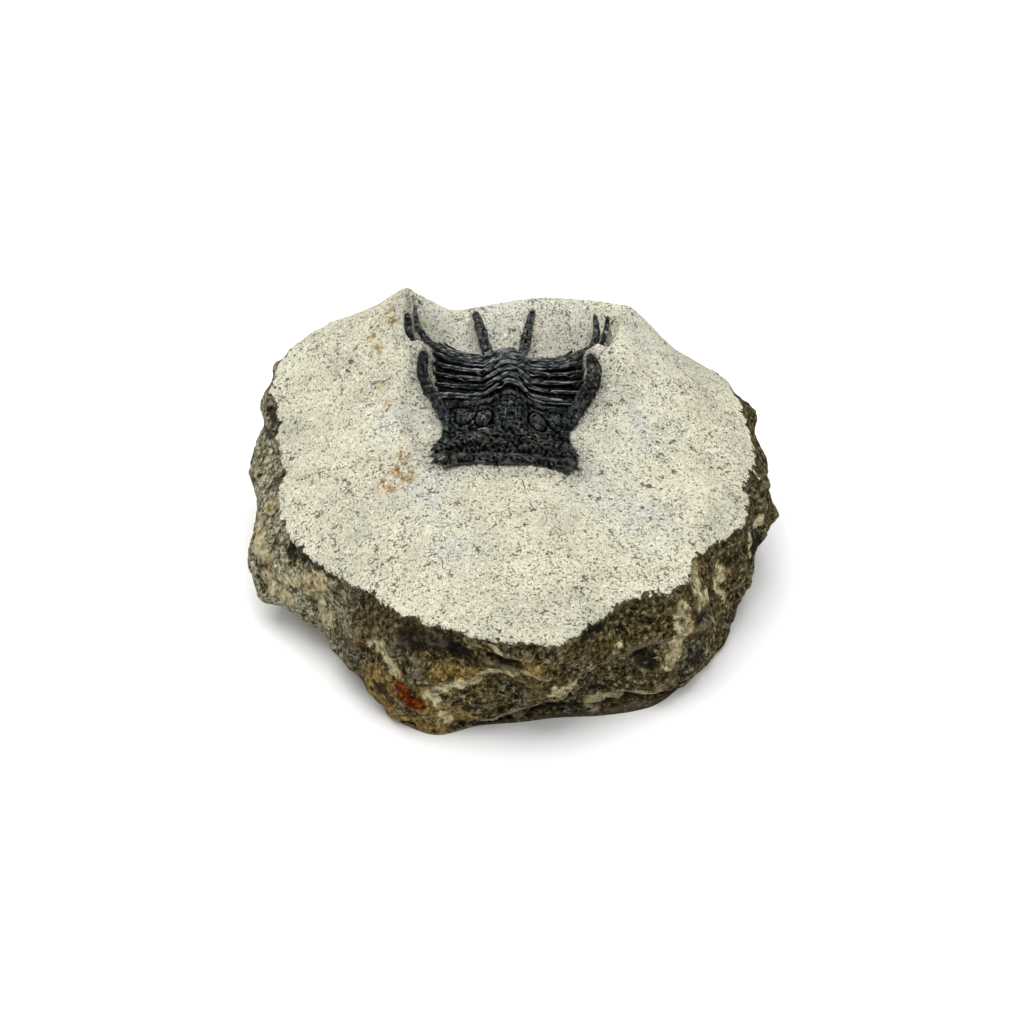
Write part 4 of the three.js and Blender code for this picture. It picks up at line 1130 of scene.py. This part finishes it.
def use(tree, group, inputs):
    """Places an effect in a material and gives its result."""
    made = tree.nodes.new("ShaderNodeGroup")
    made.node_tree = group
    set_inputs(tree, made, inputs)
    return made.outputs[0]


def noise_node(tree, place, scale, detail, roughness, twist=0.0):
    return node(tree, "ShaderNodeTexNoise", {
        "Vector": place, "Scale": scale, "Detail": detail, "Roughness": roughness, "Distortion": twist,
    }).outputs["Fac"]


def make_grain():
    """Rough stone texture, from lumps of the given size down to its finest crystals."""
    tree, given, out = effect("stone_grain", {"Size": 1.0, "Detail": 6.0, "Roughness": 0.72}, "Grain")
    scale = maths(tree, "DIVIDE", 1.0, given["Size"])
    grain = noise_node(tree, given["Position"], scale, given["Detail"], given["Roughness"], 0.5)
    tree.links.new(grain, out["Grain"])
    return tree


def make_patches():
    """Soft clouds of one mineral in another: noise of a given size, cut between two levels."""
    usual = {"Size": 5.0, "Detail": 3.0, "From": 0.4, "To": 0.6}
    tree, given, out = effect("mineral_patches", usual, "Mask")
    scale = maths(tree, "DIVIDE", 1.0, given["Size"])
    cloud = noise_node(tree, given["Position"], scale, given["Detail"], 0.6)
    tree.links.new(step_mask(tree, cloud, given["From"], given["To"]), out["Mask"])
    return tree


def make_dashes():
    """Short crooked dashes: contour lines of a noise, broken up by another."""
    tree, given, out = effect("crooked_dashes", {"Size": 0.7, "Width": 0.05, "Cover": 0.5}, "Mask")
    scale = maths(tree, "DIVIDE", 1.0, given["Size"])
    line = noise_node(tree, given["Position"], scale, 3.0, 0.52)
    off = maths(tree, "ABSOLUTE", maths(tree, "SUBTRACT", line, 0.5))
    outside = step_mask(tree, off, times(tree, given["Width"], 0.45), given["Width"])
    thin = maths(tree, "SUBTRACT", 1.0, outside)
    breaks = noise_node(tree, given["Position"], times(tree, scale, 2.1), 3.0, 0.65)
    limit = maths(tree, "SUBTRACT", 1.0, given["Cover"])
    broken = step_mask(tree, breaks, limit, maths(tree, "ADD", limit, 0.05))
    tree.links.new(times(tree, thin, broken), out["Mask"])
    return tree


GRAIN, PATCHES, DASHES = make_grain(), make_patches(), make_dashes()


def stone_grain(tree, place, size, detail=6.0, roughness=0.72):
    return use(tree, GRAIN, {"Position": place, "Size": size, "Detail": detail, "Roughness": roughness})


def patches(tree, place, size, start, end, detail=3.0):
    inputs = {"Position": place, "Size": size, "From": start, "To": end, "Detail": detail}
    return use(tree, PATCHES, inputs)


def dashes(tree, place, size, width, cover):
    return use(tree, DASHES, {"Position": place, "Size": size, "Width": width, "Cover": cover})


def new_material(name, inputs):
    material = bpy.data.materials.new(name)
    material.use_nodes = True
    tree = material.node_tree
    tree.nodes.clear()
    shader = node(tree, "ShaderNodeBsdfPrincipled", inputs)
    node(tree, "ShaderNodeOutputMaterial", {"Surface": shader.outputs[0]})
    return material, tree, shader


def finish_surface(tree, shader, colour, height):
    """Gives a shader its colour, and its fine relief from a height in millimetres."""
    bump = node(tree, "ShaderNodeBump", {"Height": height, "Distance": MM, "Strength": BUMP_STRENGTH})
    set_inputs(tree, shader, {"Base Color": colour, "Normal": bump.outputs[0]})


def tooled_colour(tree, place):
    """Pale top: cream and blue-grey clouds, fine crystals, and short dark marks of the tools."""
    colour = ramp(tree, stone_grain(tree, place, 7.0, 3.0, 0.6), PALE_STONE)
    in_bowl = attribute(tree, "bowl")
    cream = times(tree, attribute(tree, "cream"), patches(tree, place, 2.2, 0.38, 0.62, 5.0))
    colour = laid(tree, colour, TOP["cream"], cream, 0.7)
    colour = laid(tree, colour, TOP["ochre"], patches(tree, place, 1.3, 0.6, 0.7, 5.0), 0.5)
    blue = times(tree, attribute(tree, "blue"), patches(tree, place, 2.0, 0.35, 0.62, 5.0))
    colour = laid(tree, colour, TOP["blue"], blue, 0.85)
    bowl = times(tree, in_bowl, patches(tree, place, 2.6, 0.25, 0.6, 5.0))
    colour = laid(tree, colour, TOP["bowl"], bowl, 0.6)
    open_ground = maths(tree, "SUBTRACT", 1.0, times(tree, in_bowl, 0.75))
    closeness = times(tree, step_mask(tree, attribute(tree, "near_shell"), 3.6, 0.2), open_ground)
    grey = times(tree, closeness, patches(tree, place, 1.4, 0.25, 0.6, 5.0))
    colour = laid(tree, colour, TOP["by_shell"], grey, 0.75)
    crystals = stone_grain(tree, place, 0.62, 5.0, 0.75)
    colour = laid(tree, colour, TOP["bright"], step_mask(tree, crystals, 0.52, 0.66), 0.85)
    colour = laid(tree, colour, TOP["dull"], step_mask(tree, crystals, 0.455, 0.34), 0.9)
    crowd = times(tree, patches(tree, place, 4.0, 0.35, 0.65, 4.0), 0.04)
    density = maths(tree, "ADD", crowd, times(tree, closeness, 0.025))
    for size, width, cover, dark in TOOL_MARKS:
        marks = dashes(tree, place, size, width, maths(tree, "ADD", density, cover))
        colour = laid(tree, colour, dark, marks, 0.85)
    score = dashes(tree, stretched(tree, place, (1.3, 0.4, 0.4)), 0.8, 0.08, 0.5)
    colour = laid(tree, colour, TOP["score"], times(tree, score, closeness), 0.2)
    return colour, crystals


def broken_colour(tree, place):
    """Broken sides: dark olive, slate and brown rock with cream calcite, ochre and rust."""
    crystals = stone_grain(tree, place, 0.7, 5.0, 0.72)
    ragged = maths(tree, "SUBTRACT", stone_grain(tree, place, 1.7, 6.0, 0.7), 0.5)
    edge = times(tree, ragged, 2.6)

    def shown(name, start, end):
        """A mineral's marks with ragged edges."""
        return step_mask(tree, maths(tree, "ADD", attribute(tree, name), edge), start, end)

    slate = patches(tree, place, 6.0, 0.48, 0.62, 4.0)
    colour = laid(tree, ramp(tree, crystals, OLIVE_STONE), ramp(tree, crystals, SLATE_STONE), slate)
    colour = laid(tree, colour, ramp(tree, crystals, BROWN_STONE), shown("brown_mark", 0.2, 1.0), 0.8)
    drawn_out = stretched(tree, place, (1.0, 1.0, 0.6))
    swirls = step_mask(tree, noise_node(tree, drawn_out, 1 / 3.2, 5.0, 0.65, 1.6), 0.25, 0.75)
    pale = times(tree, attribute(tree, "pale_side"), step_mask(tree, swirls, 0.15, 0.5))
    colour = laid(tree, colour, ramp(tree, crystals, GREY_STONE), pale, 0.95)
    colour = laid(tree, colour, ramp(tree, crystals, OCHRE_STONE), shown("ochre", 0.2, 1.0))
    blots = times(tree, patches(tree, place, 1.8, 0.62, 0.7, 5.0), 0.8)
    dark = maths(tree, "MAXIMUM", blots, times(tree, shown("dark_mark", 0.4, 1.0), 0.85))
    colour = laid(tree, colour, SIDE["dark"], dark)
    calcite = shown("calcite", 0.6, 0.9)
    rind = maths(tree, "SUBTRACT", shown("calcite", 0.3, 0.6), calcite)
    colour = laid(tree, colour, SIDE["rind"], rind, 0.3)
    torn = times(tree, calcite, patches(tree, place, 1.3, 0.34, 0.46, 6.0))
    colour = laid(tree, colour, ramp(tree, stone_grain(tree, place, 1.2), CALCITE_STONE), torn, 0.93)
    wander = times(tree, edge, 0.3)
    vein = step_mask(tree, maths(tree, "ADD", attribute(tree, "vein"), wander), 0.22, 0.08)
    colour = laid(tree, colour, SIDE["vein"], vein, 0.75)
    colour = laid(tree, colour, SIDE["shade"], attribute(tree, "shade"), 0.93)
    lip = step_mask(tree, maths(tree, "ADD", attribute(tree, "lip"), wander), 0.4, 0.15)
    colour = laid(tree, colour, SIDE["lip"], lip, 0.5)
    colour = laid(tree, colour, ramp(tree, crystals, IRON_STONE), shown("iron", 0.35, 0.9))
    # Painted highlight on the ridges of the broken sides, and painted shade in their hollows, both read from
    # the crest mark
    crest = attribute(tree, "crest")
    colour = laid(tree, colour, SIDE["ridge"], step_mask(tree, crest, 0.54, 0.75), 0.35)
    colour = laid(tree, colour, SIDE["hollow_shade"], step_mask(tree, crest, 0.45, 0.28), 0.75)
    return colour, crystals


def limestone_material():
    material, tree, shader = new_material("limestone", {"Roughness": 0.9, "Specular IOR Level": DULL_SHEEN})
    place = position(tree)
    top_colour, top_crystals = tooled_colour(tree, place)
    rust = times(tree, attribute(tree, "rust"), patches(tree, place, 0.8, 0.45, 0.52, 4.0))
    top_colour = laid(tree, top_colour, ramp(tree, stone_grain(tree, place, 0.9), RUST_STAIN), rust, 0.95)
    bent = times(tree, patches(tree, place, 1.5, 0.3, 0.7), 0.12)
    crack = step_mask(tree, maths(tree, "ADD", attribute(tree, "crack"), bent), 0.15, 0.08)
    top_colour = laid(tree, top_colour, TOP["crack"], crack, 0.85)
    side_colour, side_crystals = broken_colour(tree, place)
    from_rim = attribute(tree, "from_rim")
    cloud = maths(tree, "SUBTRACT", stone_grain(tree, place, 2.2), 0.5)
    side = step_mask(tree, maths(tree, "ADD", from_rim, times(tree, cloud, 6.0)), 0.0, 0.15)
    # Darker band just below the rim
    side_colour = laid(tree, side_colour, SIDE["under_rim_band"], step_mask(tree, from_rim, 2.0, 0.2), 0.45)
    colour = laid(tree, top_colour, side_colour, side)
    # Black under and between the ribs, partly the shell's dark matter and partly painted shade in the slots
    colour = laid(tree, colour, BODY_BLACK_AND_SHADE, attribute(tree, "in_body"))
    # Painted shade on the rock where it touches the shell
    touch = step_mask(tree, attribute(tree, "near_shell"), 0.4, 0.05)
    colour = laid(tree, colour, CONTACT_SHADE, touch, 0.55)
    top = maths(tree, "SUBTRACT", 1.0, side)
    top_height = times(tree, top, times(tree, top_crystals, 0.6))
    side_height = times(tree, side, times(tree, side_crystals, 1.1))
    height = maths(tree, "ADD", top_height, side_height)
    cut = maths(tree, "SUBTRACT", height, times(tree, crack, 0.15))
    finish_surface(tree, shader, colour, cut)
    return material


def shell_material():
    material, tree, shader = new_material("fossil_shell", {"Specular IOR Level": DULL_SHEEN})
    place = position(tree)
    crest = attribute(tree, "crest")
    grain = stone_grain(tree, place, 0.75, 5.0, 0.75)
    colour = ramp(tree, grain, SHELL_BLACK)
    colour = laid(tree, colour, SHELL["cloud"], patches(tree, place, 3.0, 0.46, 0.56, 5.0), 0.88)
    strand = stone_grain(tree, stretched(tree, place, (0.22, 1.0, 1.0)), 0.55, 5.0)
    # Painted highlight: grey streaks laid on the raised crests
    highlit_crest = times(tree, step_mask(tree, crest, 0.44, 0.62), attribute(tree, "crest_highlight"))
    colour = laid(tree, colour, ramp(tree, strand, SHELL_CREST_HIGHLIGHT), highlit_crest, 0.9)
    mottle = times(tree, attribute(tree, "spine"), step_mask(tree, grain, 0.53, 0.66))
    colour = laid(tree, colour, SHELL["mottle"], mottle, 0.8)
    olive = times(tree, attribute(tree, "weathered"), patches(tree, place, 1.4, 0.52, 0.62, 6.0))
    colour = laid(tree, colour, SHELL["olive"], olive, 0.6)
    crust = times(tree, attribute(tree, "crust"), patches(tree, place, 0.9, 0.55, 0.62, 5.0))
    colour = laid(tree, colour, SHELL["crust"], crust, 0.95)
    # Painted shade: near black in the shell's hollows and on its steep flanks
    slot = maths(tree, "MAXIMUM", step_mask(tree, crest, 0.47, 0.32), attribute(tree, "flank_shade"))
    colour = laid(tree, colour, SHELL["slot"], slot)
    set_inputs(tree, shader, {"Roughness": maths(tree, "ADD", times(tree, grain, 0.5), 0.2)})
    finish_surface(tree, shader, colour, times(tree, grain, 0.9))
    return material


# Stage

def look_at_object():
    data = bpy.data.cameras.new("photo_camera")
    data.lens = CAMERA["lens"]
    data.sensor_width = CAMERA["sensor"]
    camera = bpy.data.objects.new("photo_camera", data)
    tilt = math.radians(CAMERA["elevation"])
    reach = CAMERA["distance"] * MM
    camera.location = (0, -reach * math.cos(tilt), CAMERA["aim_height"] * MM + reach * math.sin(tilt))
    camera.rotation_euler = (math.pi / 2 - tilt, 0, 0)
    bpy.context.scene.collection.objects.link(camera)
    bpy.context.scene.camera = camera


def soft_light(name, place, size, power):
    data = bpy.data.lights.new(name, "AREA")
    data.shape = "DISK"
    data.size = size
    data.energy = power
    lamp = bpy.data.objects.new(name, data)
    lamp.location = place
    lamp.rotation_euler = (-Vector(place)).to_track_quat("-Z", "Y").to_euler()
    bpy.context.scene.collection.objects.link(lamp)


def set_stage():
    bpy.context.scene.view_settings.view_transform = "Standard"
    world = bpy.data.worlds.new("studio")
    world.use_nodes = True
    sky = world.node_tree.nodes["Background"].inputs
    sky["Color"].default_value = (1, 1, 1, 1)
    sky["Strength"].default_value = SKY_STRENGTH
    bpy.context.scene.world = world
    for name, (place, size, power) in LAMPS.items():
        soft_light(name, place, size, power)
    corners = [(-1, -1, 0), (1, -1, 0), (1, 1, 0), (-1, 1, 0)]
    floor = mesh_piece("studio_floor", np.array(corners) * FLOOR_HALF, [(0, 1, 2, 3)])
    material, _, _ = new_material("studio_paper", {"Roughness": 0.8, "Base Color": PAPER})
    floor.data.materials.append(material)


look_at_object()
set_stage()
animal = build_animal()
rock = build_rock(search_tree(animal.values()))
rock.data.materials.append(limestone_material())
shell_look = shell_material()
for piece in animal.values():
    piece.data.materials.clear()
    piece.data.materials.append(shell_look)
